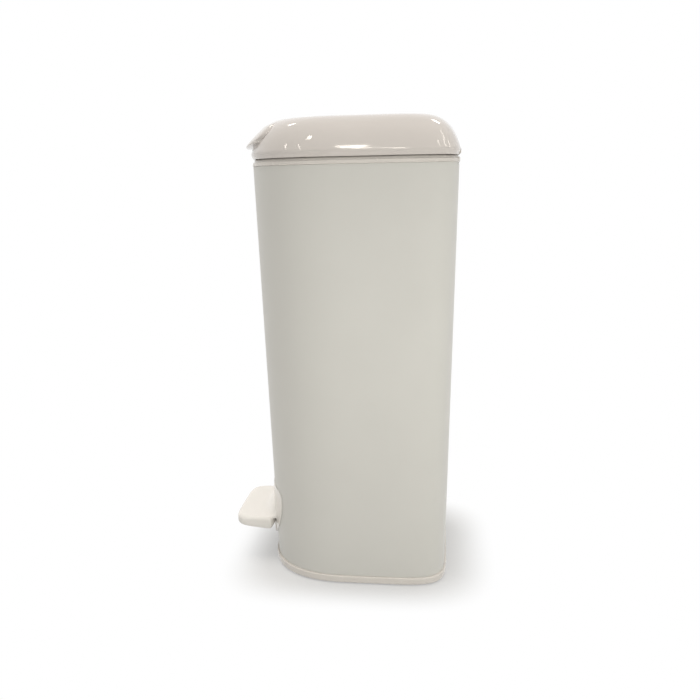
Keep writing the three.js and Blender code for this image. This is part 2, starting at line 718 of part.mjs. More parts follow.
// The pad is a shallow upturned tray with a rounded rim.
function makePad() {
  const steps = [0, 30, 60, 90].map(THREE.MathUtils.degToRad);
  const rim = steps.map((angle) => (
    padRing(PAD_TOP - PAD_EDGE * (1 - Math.sin(angle)), PAD_EDGE * (1 - Math.cos(angle)))
  ));
  const ceiling = PAD_TOP - PAD_HOLLOW_WALL;
  const hollow = [
    padRing(ceiling, PAD_HOLLOW_WALL), padRing(padBottom, PAD_HOLLOW_WALL, PAD_SLOPE),
  ];
  return loft([...hollow, padRing(padBottom, 0, PAD_SLOPE), ...rim]);
}

// The shield's outline as seen from the front.
function shieldOutline() {
  const turns = Array.from({ length: PLAN_FACETS }, (_, i) => (i * 2 * Math.PI) / PLAN_FACETS);
  return polygon(turns.map((turn) => {
    const [across, up] = [Math.cos(turn), Math.sin(turn)];
    const power = 2 / (up > 0 ? SHIELD_TOP_POWER : SHIELD_BOTTOM_POWER);
    const reach = up > 0 ? SHIELD_TOP - SHIELD_WIDEST : SHIELD_WIDEST - SHIELD_BOTTOM;
    return [
      SHIELD_HALF_WIDTH * Math.sign(across) * Math.abs(across) ** power,
      SHIELD_WIDEST + reach * Math.sign(up) * Math.abs(up) ** power,
    ];
  }));
}

// The housing's outside as a block, moved outwards, over the levels of the shield.
function housingBlock(outward) {
  const [bottom, top] = [SHIELD_BOTTOM - 2 * OVERRUN, SHIELD_TOP + 2 * OVERRUN];
  return loft(planRings([[outward, bottom], [outward, top]]));
}

// How far the shield's front stands out from the housing: it swells down to the pad's
// underside and draws in again below it.
function shieldOutward(level) {
  const below = THREE.MathUtils.mapLinear(level, SHIELD_BOTTOM, padBottom, SHIELD_FOOT, SHIELD_THICK);
  const above = THREE.MathUtils.mapLinear(level, padBottom, SHIELD_TOP, SHIELD_THICK, SHIELD_THIN);
  return SHIELD_GAP + (level < padBottom ? below : above);
}

function makeShield() {
  const outline = prism(shieldOutline(), 'y', -baseFront - TOP_FRONT, -baseFront / 3);
  const levels = [SHIELD_BOTTOM, padBottom, SHIELD_TOP];
  return loft(planRings(levels.map((level) => [shieldOutward(level), level]))).intersect(outline);
}

// The concave sweep that carries the pad's top up into the shield, fading at its ends.
function makeSweep() {
  const half = PAD_HALF_WIDTH - PAD_EDGE;
  const columns = 12;
  const steps = [0, 15, 32, 50, 70, 90].map(THREE.MathUtils.degToRad);
  const bottom = PAD_TOP - PAD_HOLLOW_WALL;
  const faceY = (x, level) => frontFaceY(x, level, shieldOutward(level) - SHIELD_THIN / 2);
  const rings = Array.from({ length: columns + 1 }, (_, i) => {
    const x = half * ((2 * i) / columns - 1);
    const fade = Math.sqrt(Math.max(1 - Math.abs(x / half) ** 4, 1 / 9));
    const reach = SWEEP_RADIUS * fade;
    const arc = steps.map((angle) => {
      const level = PAD_TOP + reach * (1 - Math.cos(angle));
      const forward = reach * (1 - Math.sin(angle));
      return new THREE.Vector3(x, faceY(x, level) - forward, level);
    });
    const foot = new THREE.Vector3(x, arc[0].y, bottom);
    const heel = new THREE.Vector3(x, frontFaceY(x, bottom, SHIELD_GAP), bottom);
    return [heel, foot, ...arc];
  });
  return loft(rings);
}

// Places on the pedal's lever, as shares of the hub, the nose and the neck's run.
const hubFlankShare = 0.7;
const hubTailShare = 0.9;
const noseShoulderShare = 0.8;
const neckKneeShare = 0.3;
const pocketFootShare = 2;
const pocketHeelShare = 1.6;

function makePedal() {
  const hub = bar('x', pivotY, PIVOT_Z, HUB_RADIUS, -HUB_HALF_WIDTH, HUB_HALF_WIDTH);
  const armTop = PAD_TOP - PAD_HOLLOW_WALL;
  const armUnder = padBottom;
  const wallY = -baseFront;
  const neckKnee = THREE.MathUtils.lerp(wallY, pivotY, neckKneeShare);
  const flank = HUB_RADIUS * hubFlankShare;
  const neck = prism(polygon([
    [padWidestY, armTop], [padWidestY, armUnder], [neckKnee, armUnder],
    [pivotY - flank, PIVOT_Z - flank], [pivotY + flank, PIVOT_Z + flank],
    [neckKnee, armTop],
  ]), 'x', -NECK_HALF_WIDTH, NECK_HALF_WIDTH);
  const neckPocket = prism(polygon([
    [wallY, armUnder - OVERRUN], [neckKnee, armUnder - OVERRUN],
    [pivotY - HUB_RADIUS * pocketFootShare, PIVOT_Z],
    [pivotY - HUB_RADIUS * pocketHeelShare, PIVOT_Z + HUB_RADIUS],
    [neckKnee, armTop - PAD_HOLLOW_WALL], [wallY, armTop - PAD_HOLLOW_WALL],
  ]), 'x', -NECK_HALF_WIDTH + PAD_HOLLOW_WALL, NECK_HALF_WIDTH - PAD_HOLLOW_WALL);
  const tail = prism(polygon([
    [pivotY, PIVOT_Z + HUB_RADIUS * hubTailShare],
    [pivotY, PIVOT_Z - HUB_RADIUS * hubTailShare],
    [rodY, PIVOT_Z - TAIL_NOSE_RADIUS], [rodY, PIVOT_Z + TAIL_NOSE_RADIUS],
    [rodY - 2 * ROD_FOOT_RADIUS, PIVOT_Z + TAIL_NOSE_RADIUS * noseShoulderShare],
  ]), 'x', -TAIL_HALF_WIDTH, TAIL_HALF_WIDTH);
  const nose = bar('x', rodY, PIVOT_Z, TAIL_NOSE_RADIUS, -TAIL_HALF_WIDTH, TAIL_HALF_WIDTH);
  const pinReach = HUB_HALF_WIDTH + OVERRUN;
  const pinHole = bar('x', pivotY, PIVOT_Z, PEDAL_PIN_RADIUS + FIT, -pinReach, pinReach);
  const lever = joinAll(neck.subtract(neckPocket), hub, tail, nose);
  const tread = joinAll(makePad(), makeShield(), makeSweep()).subtract(housingBlock(SHIELD_GAP));
  return tread.add(lever).subtract(pinHole);
}

function makePedalPin() {
  const reach = HUB_HALF_WIDTH + FIT + CHEEK_THICKNESS;
  return bar('x', pivotY, PIVOT_Z, PEDAL_PIN_RADIUS, -reach, reach);
}

// Lift rod

function makeRod() {
  const from = rodFootBottom + ROD_FOOT_HEIGHT - ROD_SOCKET_DEPTH + FIT;
  const to = rodCapTop - ROD_CAP_HEIGHT + ROD_SOCKET_DEPTH - FIT;
  return bar('z', 0, rodY, ROD_RADIUS, from, to);
}

const footTopShare = 0.7; // top of the rod's foot

function makeRodFoot() {
  const top = rodFootBottom + ROD_FOOT_HEIGHT;
  const socket = top - ROD_SOCKET_DEPTH;
  return turned([
    [0, rodFootBottom], [ROD_FOOT_RADIUS, rodFootBottom],
    [ROD_FOOT_RADIUS * footTopShare, top],
    [ROD_RADIUS + FIT, top], [ROD_RADIUS + FIT, socket], [0, socket],
  ], 0, rodY, SMALL_FACETS);
}

function makeRodCap() {
  const bottom = rodCapTop - ROD_CAP_HEIGHT;
  const socket = bottom + ROD_SOCKET_DEPTH;
  return turned([
    [0, socket], [ROD_RADIUS + FIT, socket], [ROD_RADIUS + FIT, bottom],
    [ROD_RADIUS * 2, bottom], [ROD_CAP_RADIUS, rodCapTop - ROD_CAP_HEIGHT / 3],
    [ROD_CAP_RADIUS, rodCapTop], [0, rodCapTop],
  ], 0, rodY, SMALL_FACETS);
}

// A bracket on the rear wall with a running bore for the rod.
function makeGuide(level) {
  const top = level + GUIDE_HEIGHT;
  const [plateLow, plateHigh] = [level - GUIDE_HEIGHT / 2, top + GUIDE_HEIGHT / 2];
  const wall = (height) => rearWallInside(height) - FIT;
  const stem = prism(polygon([
    [rodY, level], [wall(level), level], [wall(top), top], [rodY, top],
  ]), 'x', -GUIDE_HALF_WIDTH / 2, GUIDE_HALF_WIDTH / 2);
  const plate = prism(polygon([
    [wall(level) - WALL, plateLow], [wall(plateLow), plateLow],
    [wall(plateHigh), plateHigh], [wall(top) - WALL, plateHigh],
  ]), 'x', -GUIDE_HALF_WIDTH, GUIDE_HALF_WIDTH);
  const eye = bar('z', 0, rodY, GUIDE_RADIUS, level, top);
  const bore = bar('z', 0, rodY, ROD_RADIUS + FIT, level - OVERRUN, top + OVERRUN);
  return joinAll(eye, stem, plate).subtract(bore);
}

// A channel in front of the rod that keeps the bag off it.
function makeRodCover() {
  const bottom = innerFloorTop + FIT;
  const wall = (level) => rearWallInside(level) - FIT;
  const outline = (front) => polygon([
    [front, bottom], [wall(bottom), bottom], [wall(coverTop), coverTop], [front, coverTop],
  ]);
  const channel = prism(outline(coverFrontY), 'x', -COVER_HALF_WIDTH, COVER_HALF_WIDTH);
  const inside = COVER_HALF_WIDTH - COVER_THICKNESS;
  const hollow = box(
    -inside, inside, coverFrontY + COVER_THICKNESS, TOP_REAR,
    bottom - OVERRUN, coverTop + OVERRUN,
  );
  return channel.subtract(hollow);
}

// Head

function makeHead() {
  const spigotOut = -WALL - SPIGOT_RUN;
  const spigotIn = spigotOut - WALL;
  const neckIn = -NECK_INSET - WALL;
  const ring = loft(planRings([
    [spigotOut, beadBottom - HEAD_SPIGOT_DEPTH], [spigotOut, beadBottom],
    [BEAD_PROUD - BEAD_ROUND, beadBottom], [BEAD_PROUD, beadBottom + BEAD_ROUND],
    [BEAD_PROUD, beadTop - BEAD_ROUND], [BEAD_PROUD - BEAD_ROUND, beadTop],
    [-NECK_INSET, beadTop], [-NECK_INSET, neckTop], [neckIn, neckTop],
    [neckIn, beadTop - WALL], [spigotIn, beadTop - WALL],
    [spigotIn, beadBottom - HEAD_SPIGOT_DEPTH],
  ]), true);
  const deckEdge = neckIn + WALL / 2;
  const deckBottom = deckTop - DECK_THICKNESS;
  const deck = loft(planRings([[deckEdge, deckBottom], [deckEdge, deckTop]]));
  const wellHole = bar(
    'z', 0, wellY, wellRadius, deckBottom - OVERRUN, deckTop + OVERRUN, ROUND_FACETS,
  );
  const wellOutside = wellRadius + WALL;
  const wellBottom = wellFloor - WALL;
  const well = turned([
    [0, wellBottom], [wellOutside, wellBottom], [wellOutside, deckTop - DECK_THICKNESS / 2],
    [wellRadius, deckTop - DECK_THICKNESS / 2], [wellRadius, wellFloor], [0, wellFloor],
  ], 0, wellY);
  const throat = (half, from, to) => prism(roundedRectangle(
    -half, half, wellY - half, wellY + half, THROAT_CORNER,
  ), 'z', from, to);
  const collar = throat(throatHalf + WALL, collarBottom, wellFloor - WALL / 2);
  const throatHole = throat(throatHalf, collarBottom - OVERRUN, wellFloor + OVERRUN);
  const leverSlot = box(
    -LEVER_SLOT_HALF_WIDTH, LEVER_SLOT_HALF_WIDTH, leverSlotFront, leverSlotRear,
    deckBottom - OVERRUN, deckTop + OVERRUN,
  );
  const bodyLugSlots = headLugRanges().map(([from, to]) => box(
    from - LUG_GAP, to + LUG_GAP, headHingeY - 2 * KNUCKLE_RADIUS, TOP_REAR + 2 * OVERRUN,
    beadBottom - HEAD_SPIGOT_DEPTH - OVERRUN, headHingeZ + KNUCKLE_RADIUS + 2 * LUG_GAP,
  ));
  const knuckles = [-1, 1].map((side) => {
    const [from, to] = knuckleRange(HEAD_HINGE_X, HEAD_KNUCKLE, side);
    return bar('x', headHingeY, headHingeZ, KNUCKLE_RADIUS, from, to);
  });
  const lidLugStem = polygon([
    [planAt(neckTop, neckIn).rear + WALL / 4, lidHingeZ - KNUCKLE_RADIUS],
    [lidHingeY, lidHingeZ - KNUCKLE_RADIUS], [lidHingeY, lidHingeZ + KNUCKLE_RADIUS],
    [planAt(neckTop, neckIn).rear + WALL / 4, lidHingeZ + KNUCKLE_RADIUS],
  ]);
  const lidLugs = lidLugRanges().map(([from, to]) => (
    prism(lidLugStem, 'x', from, to).add(bar('x', lidHingeY, lidHingeZ, KNUCKLE_RADIUS, from, to))
  ));
  const flapLugs = [-1, 1].flatMap((side) => [-1, 1].map((end) => makeFlapLug(side, end)));
  const bore = HINGE_PIN_RADIUS + FIT;
  const headPinHole = bar('x', headHingeY, headHingeZ, bore, -TOP_HALF_WIDTH, TOP_HALF_WIDTH);
  const lidPinHoles = [-1, 1].map((side) => {
    const reach = lidHingeX + LID_KNUCKLE + LID_LUG;
    const start = lidHingeX - LID_KNUCKLE - LID_LUG;
    const [from, to] = side > 0 ? [start, reach] : [-reach, -start];
    return bar('x', lidHingeY, lidHingeZ, bore, from, to);
  });
  const flapPinHoles = [-1, 1].map((side) => bar(
    'y', side * flapAxisX, flapAxisZ, FLAP_PIN_RADIUS + FIT, -TOP_FRONT, TOP_REAR / 2,
  ));
  const shelf = cutAll(deck, wellHole, leverSlot);
  const frame = joinAll(cutAll(ring, bodyLugSlots), shelf, well, collar, knuckles, lidLugs);
  const carried = joinAll(frame.subtract(throatHole), flapLugs);
  return cutAll(carried, limitPinHole(headPinHole), lidPinHoles, flapPinHoles.map(limitFlapHole));
}

// The pin bores only run through their own lugs and knuckles.
function limitPinHole(hole) {
  const reach = HEAD_HINGE_X + HEAD_KNUCKLE + HEAD_LUG;
  const span = box(
    -reach, reach, TOP_REAR / 2, TOP_REAR + OVERRUN, rimLevel, beadTop + OVERRUN,
  );
  return hole.intersect(span);
}

function limitFlapHole(hole) {
  const half = flapBarrelHalf + FLAP_LUG_GAP + FLAP_LUG_THICKNESS + OVERRUN;
  const span = box(
    -TOP_HALF_WIDTH, TOP_HALF_WIDTH, wellY - half, wellY + half,
    flapAxisZ - FLAP_LUG_RADIUS, flapAxisZ + FLAP_LUG_RADIUS,
  );
  return hole.intersect(span);
}

function makeFlapLug(side, end) {
  const x = side * flapAxisX;
  const near = flapBarrelHalf + FLAP_LUG_GAP;
  const far = near + FLAP_LUG_THICKNESS;
  const [from, to] = end > 0 ? [wellY + near, wellY + far] : [wellY - far, wellY - near];
  const stem = box(
    x - FLAP_LUG_RADIUS, x + FLAP_LUG_RADIUS, from, to, flapAxisZ, wellFloor - WALL / 2,
  );
  return stem.add(bar('y', x, flapAxisZ, FLAP_LUG_RADIUS, from, to));
}

// A flap on the right, its plate reaching in to the slit, with a barrel for its pin.
function makeFlap(side) {
  const half = FLAP_THICKNESS / 2;
  const plate = prism(roundedRectangle(
    FLAP_SLIT, flapEdgeX, wellY - flapHalfLength, wellY + flapHalfLength, FLAP_SLIT,
  ), 'z', flapAxisZ - half, flapAxisZ + half);
  const cornerCuts = [-1, 1].map((end) => {
    const y = wellY + end * flapHalfLength;
    return prism(polygon([
      [flapEdgeX + OVERRUN, y + end * OVERRUN],
      [flapEdgeX - FLAP_CORNER / 2, y + end * OVERRUN],
      [flapEdgeX + OVERRUN, y - (end * FLAP_CORNER) / 2],
    ]), 'z', flapAxisZ - FLAP_THICKNESS, flapAxisZ + FLAP_THICKNESS);
  });
  const [front, rear] = [wellY - flapBarrelHalf, wellY + flapBarrelHalf];
  const web = box(
    flapEdgeX - FLAP_THICKNESS, flapAxisX, front, rear, flapAxisZ - half, flapAxisZ + half,
  );
  const barrel = bar('y', flapAxisX, flapAxisZ, FLAP_BARREL_RADIUS, front, rear);
  const ribs = [-1, 0, 1].map((place) => {
    const y = wellY + (place * flapBarrelHalf) / 2;
    return prism(polygon([
      [flapAxisX, flapAxisZ], [FLAP_SLIT + FLAP_CORNER, flapAxisZ],
      [flapAxisX, flapAxisZ - FLAP_BARREL_RADIUS],
    ]), 'y', y - half, y + half);
  });
  const bore = bar(
    'y', flapAxisX, flapAxisZ, FLAP_PIN_RADIUS + FIT, front - OVERRUN, rear + OVERRUN,
  );
  const flap = cutAll(joinAll(plate, web, barrel, ribs), cornerCuts, bore);
  return side > 0 ? flap : flap.mirror([1, 0, 0]);
}

function makeFlapPin(side) {
  const half = flapBarrelHalf + FLAP_LUG_GAP + FLAP_LUG_THICKNESS;
  return bar('y', side * flapAxisX, flapAxisZ, FLAP_PIN_RADIUS, wellY - half, wellY + half);
}

// Film cassette

function makeCassetteTray() {
  const floor = wellFloor + FIT;
  return turned([
    [cassetteBore, floor], [cassetteRadius, floor], [cassetteRadius, cassetteTop],
    [cassetteRadius - CASSETTE_WALL, cassetteTop],
    [cassetteRadius - CASSETTE_WALL, floor + CASSETTE_WALL],
    [cassetteBore + CASSETTE_WALL, floor + CASSETTE_WALL],
    [cassetteBore + CASSETTE_WALL, cassetteTop], [cassetteBore, cassetteTop],
    [cassetteBore, floor],
  ], 0, wellY);
}

// The film in store: a ring folded into pleats, one on another.
function makeFilmPack() {
  const inner = cassetteBore + CASSETTE_WALL + PACK_RUN;
  const outer = cassetteRadius - CASSETTE_WALL - PACK_RUN;
  const bottom = wellFloor + FIT + CASSETTE_WALL + FIT;
  const pleat = (packTop - bottom) / PACK_PLEATS;
  const outside = [];
  const inside = [];
  for (let i = 0; i < PACK_PLEATS; i++) {
    const low = bottom + i * pleat;
    outside.push([outer - PACK_PLEAT_DEPTH, low], [outer, low + pleat / 2]);
    inside.unshift([inner, low + pleat / 2], [inner + PACK_PLEAT_DEPTH, low]);
  }
  outside.push([outer - PACK_PLEAT_DEPTH, packTop]);
  inside.unshift([inner + PACK_PLEAT_DEPTH, packTop]);
  return turned([...outside, ...inside, outside[0]], 0, wellY);
}

function makeCassetteCover() {
  const under = cassetteTop + FIT;
  const top = under + COVER_RING_THICKNESS;
  const lipOuter = cassetteRadius - CASSETTE_WALL - FIT;
  const lipInner = lipOuter - CASSETTE_WALL;
  const lipBottom = cassetteTop - COVER_RING_THICKNESS;
  return turned([
    [coverRingBore, under], [lipInner, under], [lipInner, lipBottom], [lipOuter, lipBottom],
    [lipOuter, under], [cassetteRadius, under], [cassetteRadius, top],
    [coverRingBore + COVER_RING_THICKNESS, top],
    [coverRingBore, under + COVER_RING_THICKNESS / 2], [coverRingBore, under],
  ], 0, wellY);
}

function filmRing(halfX, halfY, level) {
  return Array.from({ length: ROUND_FACETS }, (_, i) => {
    const turn = (i * 2 * Math.PI) / ROUND_FACETS;
    return new THREE.Vector3(
      halfX * Math.cos(turn), wellY + halfY * Math.sin(turn), level,
    );
  });
}

const waistShare = 1 / 3; // of the funnel's height and radius

// The film leaves the cassette over its inner wall, narrows like a funnel to the slit
// between the flaps and hangs below it as a flat tail.
function makeFilm() {
  const over = cassetteTop + FIT;
  const high = over + FILM;
  const wallInside = cassetteBore - FIT;
  const wallOutside = cassetteBore + CASSETTE_WALL + FIT;
  const end = packTop + FIT;
  const flat = FILM / 2;
  const waistLevel = THREE.MathUtils.lerp(funnelBottom, funnelTop, waistShare);
  const waistHalf = funnelRadius * waistShare;
  const waistLength = THREE.MathUtils.lerp(slitHalfLength, funnelRadius, waistShare);
  const outside = [
    filmRing(flat, slitHalfLength, tailEnd),
    filmRing(flat, slitHalfLength, funnelBottom),
    filmRing(waistHalf, waistLength, waistLevel),
    filmRing(funnelRadius, funnelRadius, funnelTop),
    filmRing(wallInside, wallInside, cassetteTop - FIT),
    filmRing(wallInside, wallInside, over),
    filmRing(wallOutside, wallOutside, over),
    filmRing(wallOutside, wallOutside, end),
  ];
  const inside = [
    filmRing(wallOutside + FILM, wallOutside + FILM, end),
    filmRing(wallOutside + FILM, wallOutside + FILM, high),
    filmRing(wallInside - FILM, wallInside - FILM, high),
    filmRing(wallInside - FILM, wallInside - FILM, cassetteTop),
    filmRing(funnelRadius - FILM, funnelRadius - FILM, funnelTop + FILM),
    filmRing(waistHalf - FILM, waistLength - FILM, waistLevel + FILM),
    filmRing(flat, slitHalfLength - FILM, funnelBottom + 2 * FILM),
  ];
  return loft([...outside, ...inside]);
}

function makeCutterGuard() {
  const top = deckTop - DECK_THICKNESS - FIT;
  const [front, rear] = [cutterY - CUTTER_HALF_DEPTH, cutterY + CUTTER_HALF_DEPTH];
  const corner = CUTTER_HALF_DEPTH / 2;
  const block = prism(polygon([
    [front, top], [front, cutterBottom + corner], [front + corner, cutterBottom],
    [rear - corner, cutterBottom], [rear, cutterBottom + corner], [rear, top],
  ]), 'x', -CUTTER_HALF_LENGTH, CUTTER_HALF_LENGTH);
  const slot = box(
    -CUTTER_HALF_LENGTH - OVERRUN, CUTTER_HALF_LENGTH - CUTTER_HALF_DEPTH,
    cutterY - CUTTER_SLOT_HALF, cutterY + CUTTER_SLOT_HALF,
    cutterBottom - OVERRUN, cutterSlotTop,
  );
  return block.subtract(slot);
}

function makeCutterBlade() {
  const half = BLADE_THICKNESS / 2;
  const top = cutterSlotTop - FIT;
  const inner = CUTTER_HALF_LENGTH - CUTTER_HALF_DEPTH - FIT;
  return prism(polygon([
    [-CUTTER_HALF_LENGTH + FIT, top], [-CUTTER_HALF_LENGTH / 2, top - BLADE_HEIGHT],
    [inner, top - BLADE_HEIGHT], [inner, top],
  ]), 'y', cutterY - half, cutterY + half);
}

// Lid

// How far the dome has drawn in, at a share of its height and at a level.
function insetAtShare(share) {
  return DOME_LEAN * share + DOME_ROUND * (1 - Math.sqrt(1 - share * share));
}

function domeInset(level) {
  const share = (level - lidWidest) / (domeTop - lidWidest);
  return insetAtShare(THREE.MathUtils.clamp(share, 0, 1));
}

// How far the beak at the front stands out from the dome at a level.
function beakReach(level) {
  if (level < lipLevel - LIP_THICKNESS || level > beakTop) return 0;
  const blend = THREE.MathUtils.smoothstep(beakTop - level, 0, BEAK_BLEND);
  const flareShare = THREE.MathUtils.clamp(1 - (level - lipLevel) / LIP_FLARE, 0, 1);
  return BEAK_PROUD * blend + LIP_REACH * flareShare ** 1.3;
}

// The inside of the shell is hollow behind the beak, above the liner.
function hollowReach(level) {
  const start = linerLevel + LINER_THICKNESS;
  const opening = THREE.MathUtils.smoothstep(level, start, start + LIP_FLARE);
  return Math.min(beakReach(level), BEAK_PROUD * opening);
}

// The beak's sides end in a crease that draws in along the lip.
function beakFade(x, level) {
  const rise = THREE.MathUtils.smoothstep(level, lipLevel, lipLevel + LIP_FLARE);
  const halfWidth = THREE.MathUtils.lerp(BEAK_LIP_HALF_WIDTH, BEAK_HALF_WIDTH, rise);
  const share = (Math.abs(x) - halfWidth + BEAK_SHOULDER) / BEAK_SHOULDER;
  if (share >= 1) return 0;
  return share <= 0 ? 1 : Math.sqrt(1 - share * share);
}

// The dome's levels sink towards the front, much more at the top than low down.
function lidRing(level, inset, reach) {
  const height = THREE.MathUtils.clamp((level - lidWidest) / (domeTop - lidWidest), 0, 1);
  return planRing(rimLevel, LID_OVERHANG - inset).map((point) => {
    const forward = point.y < 0 ? reach * beakFade(point.x, level) : 0;
    const y = point.y - forward;
    const frontShare = THREE.MathUtils.clamp((LID_PEAK - y) / (LID_PEAK + TOP_FRONT), 0, 1);
    return new THREE.Vector3(point.x, y, level - LID_SLOPE * height ** 2 * frontShare);
  });
}

function makeLidShell() {
  const lipBottom = lipLevel - LIP_THICKNESS;
  const edgeShare = [0, 0.25, 1];
  const tuck = (share) => LID_TUCK * (1 - share) ** 2;
  const skirt = edgeShare.map((share) => (
    lidRing(THREE.MathUtils.lerp(lidEdgeLevel, lidWidest, share), tuck(share), 0)
  ));
  const lip = [
    lidRing(lipBottom - FIT, domeInset(lipBottom), 0),
    lidRing(lipBottom, domeInset(lipBottom), beakReach(lipLevel) - LIP_THICKNESS / 2),
    lidRing(lipLevel - LIP_THICKNESS / 2, domeInset(lipLevel), beakReach(lipLevel)),
  ];
  const flareShare = [0, 0.25, 0.6, 1];
  const flare = flareShare.map((share) => {
    const level = lipLevel + LIP_FLARE * share;
    return lidRing(level, domeInset(level), beakReach(level));
  });
  const domeFrom = lipLevel + LIP_FLARE;
  const domeShare = [0.35, 0.62, 0.8, 0.91, 0.97, 1];
  const dome = domeShare.map((share) => {
    const level = THREE.MathUtils.lerp(domeFrom, domeTop, share);
    return lidRing(level, domeInset(level), beakReach(level));
  });
  const crownShare = [0.5, 0.9];
  const crown = crownShare.map((share) => {
    const level = HEIGHT - CROWN * (1 - share) ** 2;
    return lidRing(level, THREE.MathUtils.lerp(insetAtShare(1), TOP_HALF_WIDTH, share), 0);
  });
  const insideShare = [1, 0.93, 0.78, 0.52, 0.25];
  const insideTop = domeTop - WALL;
  const inside = insideShare.map((share) => {
    const level = THREE.MathUtils.lerp(lidWidest, insideTop, share);
    return lidRing(level, insetAtShare(share) + WALL, hollowReach(level));
  });
  const insideEdge = [
    lidRing(lidWidest, WALL, 0), lidRing(lidEdgeLevel, LID_TUCK + WALL, 0),
  ];
  const shell = loft([...inside, ...insideEdge, ...skirt, ...lip, ...flare, ...dome, ...crown]);
  const lugSlots = lidLugRanges().map(([from, to]) => box(
    from - LUG_GAP, to + LUG_GAP, lidHingeY - 2 * KNUCKLE_RADIUS, lidRear + OVERRUN,
    lidEdgeLevel - OVERRUN, lidHingeZ + KNUCKLE_RADIUS + 2 * LUG_GAP,
  ));
  const knuckles = [-1, 1].map((side) => {
    const [from, to] = knuckleRange(lidHingeX, LID_KNUCKLE, side);
    return bar('x', lidHingeY, lidHingeZ, KNUCKLE_RADIUS, from, to);
  });
  const within = loft([
    ...edgeShare.map((share) => lidRing(
      THREE.MathUtils.lerp(lidEdgeLevel, lidWidest, share), tuck(share) + WALL / 2, 0,
    )),
    ...insideShare.toReversed().map((share) => {
      const level = THREE.MathUtils.lerp(lidWidest, domeTop - WALL / 2, share);
      return lidRing(level, insetAtShare(share) + WALL / 2, 0);
    }),
  ]);
  const bossBottom = linerLevel + LINER_THICKNESS + FIT;
  const bosses = lidScrewPlaces().map(([x, y]) => (
    post(x, y, BOSS_RADIUS, bossBottom, HEIGHT).intersect(within)
  ));
  const pilots = lidScrewPlaces().map(([x, y]) => (
    post(x, y, SCREW_SHANK_RADIUS + FIT, bossBottom - OVERRUN, bossBottom + SCREW_BITE + FIT)
  ));
  const reach = lidHingeX + LID_KNUCKLE;
  const start = lidHingeX - LID_KNUCKLE;
  const bores = [[start, reach], [-reach, -start]].map(([from, to]) => (
    bar('x', lidHingeY, lidHingeZ, HINGE_PIN_RADIUS + FIT, from, to)
  ));
  return cutAll(joinAll(cutAll(shell, lugSlots), knuckles, bosses), pilots, bores);
}

// The lid's four screws stand round the seal's groove, off the front and rear lines.
const LID_SCREW_TURNS = [212, 328, 51, 129].map(THREE.MathUtils.degToRad);

function lidScrewPlaces() {
  const radius = sealRadius + SEAL_HALF_WIDTH + FIT + CARRIER_WALL + LID_SCREW_OUT;
  return LID_SCREW_TURNS.map((turn) => [
    radius * Math.cos(turn), wellY + radius * Math.sin(turn),
  ]);
}

// The panel that closes the lid from below, with the seal's groove and the lever that the
// rod pushes up.
function makeLidLiner() {
  const top = linerLevel + LINER_THICKNESS;
  const edge = WALL + LINER_RUN;
  const plate = loft([
    lidRing(linerLevel, domeInset(top) + edge, 0), lidRing(top, domeInset(top) + edge, 0),
  ]);
  const grooveInside = sealRadius - SEAL_HALF_WIDTH - FIT;
  const grooveOutside = sealRadius + SEAL_HALF_WIDTH + FIT;
  const root = linerLevel + LINER_THICKNESS / 2;
  const walls = [
    tube(grooveInside - CARRIER_WALL, grooveInside, carrierBottom, root, 0, wellY),
    tube(grooveOutside, grooveOutside + CARRIER_WALL, carrierBottom, root, 0, wellY),
  ];
  const lever = prism(polygon([
    [leverFootY - LEVER_ROOT_HALF, root], [leverFootY - LEVER_FOOT_RADIUS, leverFootZ],
    [leverFootY + LEVER_FOOT_RADIUS, leverFootZ], [leverFootY + LEVER_ROOT_HALF, root],
  ]), 'x', -LEVER_HALF_WIDTH, LEVER_HALF_WIDTH);
  const foot = bar(
    'x', leverFootY, leverFootZ, LEVER_FOOT_RADIUS, -LEVER_HALF_WIDTH, LEVER_HALF_WIDTH,
  );
  const holes = lidScrewPlaces().map(([x, y]) => (
    post(x, y, SCREW_SHANK_RADIUS + FIT, linerLevel - OVERRUN, top + OVERRUN)
  ));
  return cutAll(joinAll(plate, walls, lever, foot), holes);
}

function makeSeal() {
  const [inner, outer] = [sealRadius - SEAL_HALF_WIDTH, sealRadius + SEAL_HALF_WIDTH];
  const soften = SEAL_HALF_WIDTH / 2;
  return turned([
    [inner + soften, sealBottom], [outer - soften, sealBottom], [outer, sealBottom + soften],
    [outer, sealTop], [inner, sealTop], [inner, sealBottom + soften],
    [inner + soften, sealBottom],
  ], 0, wellY);
}

function hingePin(y, z, middle, knuckle, lug, side) {
  const half = knuckle / 2 + LUG_GAP + lug;
  return bar('x', y, z, HINGE_PIN_RADIUS, side * middle - half, side * middle + half);
}

// Assembly

function piece(name, solid, finish) {
  const material = new THREE.MeshStandardMaterial({ metalness: 0, ...finishes[finish] });
  const mesh = new THREE.Mesh(toGeometry(solid), material);
  mesh.name = name;
  return mesh;
}

function group(...members) {
  const holder = new THREE.Group();
  holder.add(...members.flat());
  return holder;
}

// Copies of one piece, each at its own place.
function copies(name, makeOne, finish, places) {
  return places.map(([x, y, z], i) => {
    const copy = piece(`${name}_${i + 1}`, makeOne(), finish);
    copy.position.set(x, y, z);
    return copy;
  });
}

const sides = [[-1, 'left'], [1, 'right']];
const baseScrewGrip = baseSpigotTop - baseBottom;
const lidScrewFace = linerLevel - SCREW_HEAD_HEIGHT;

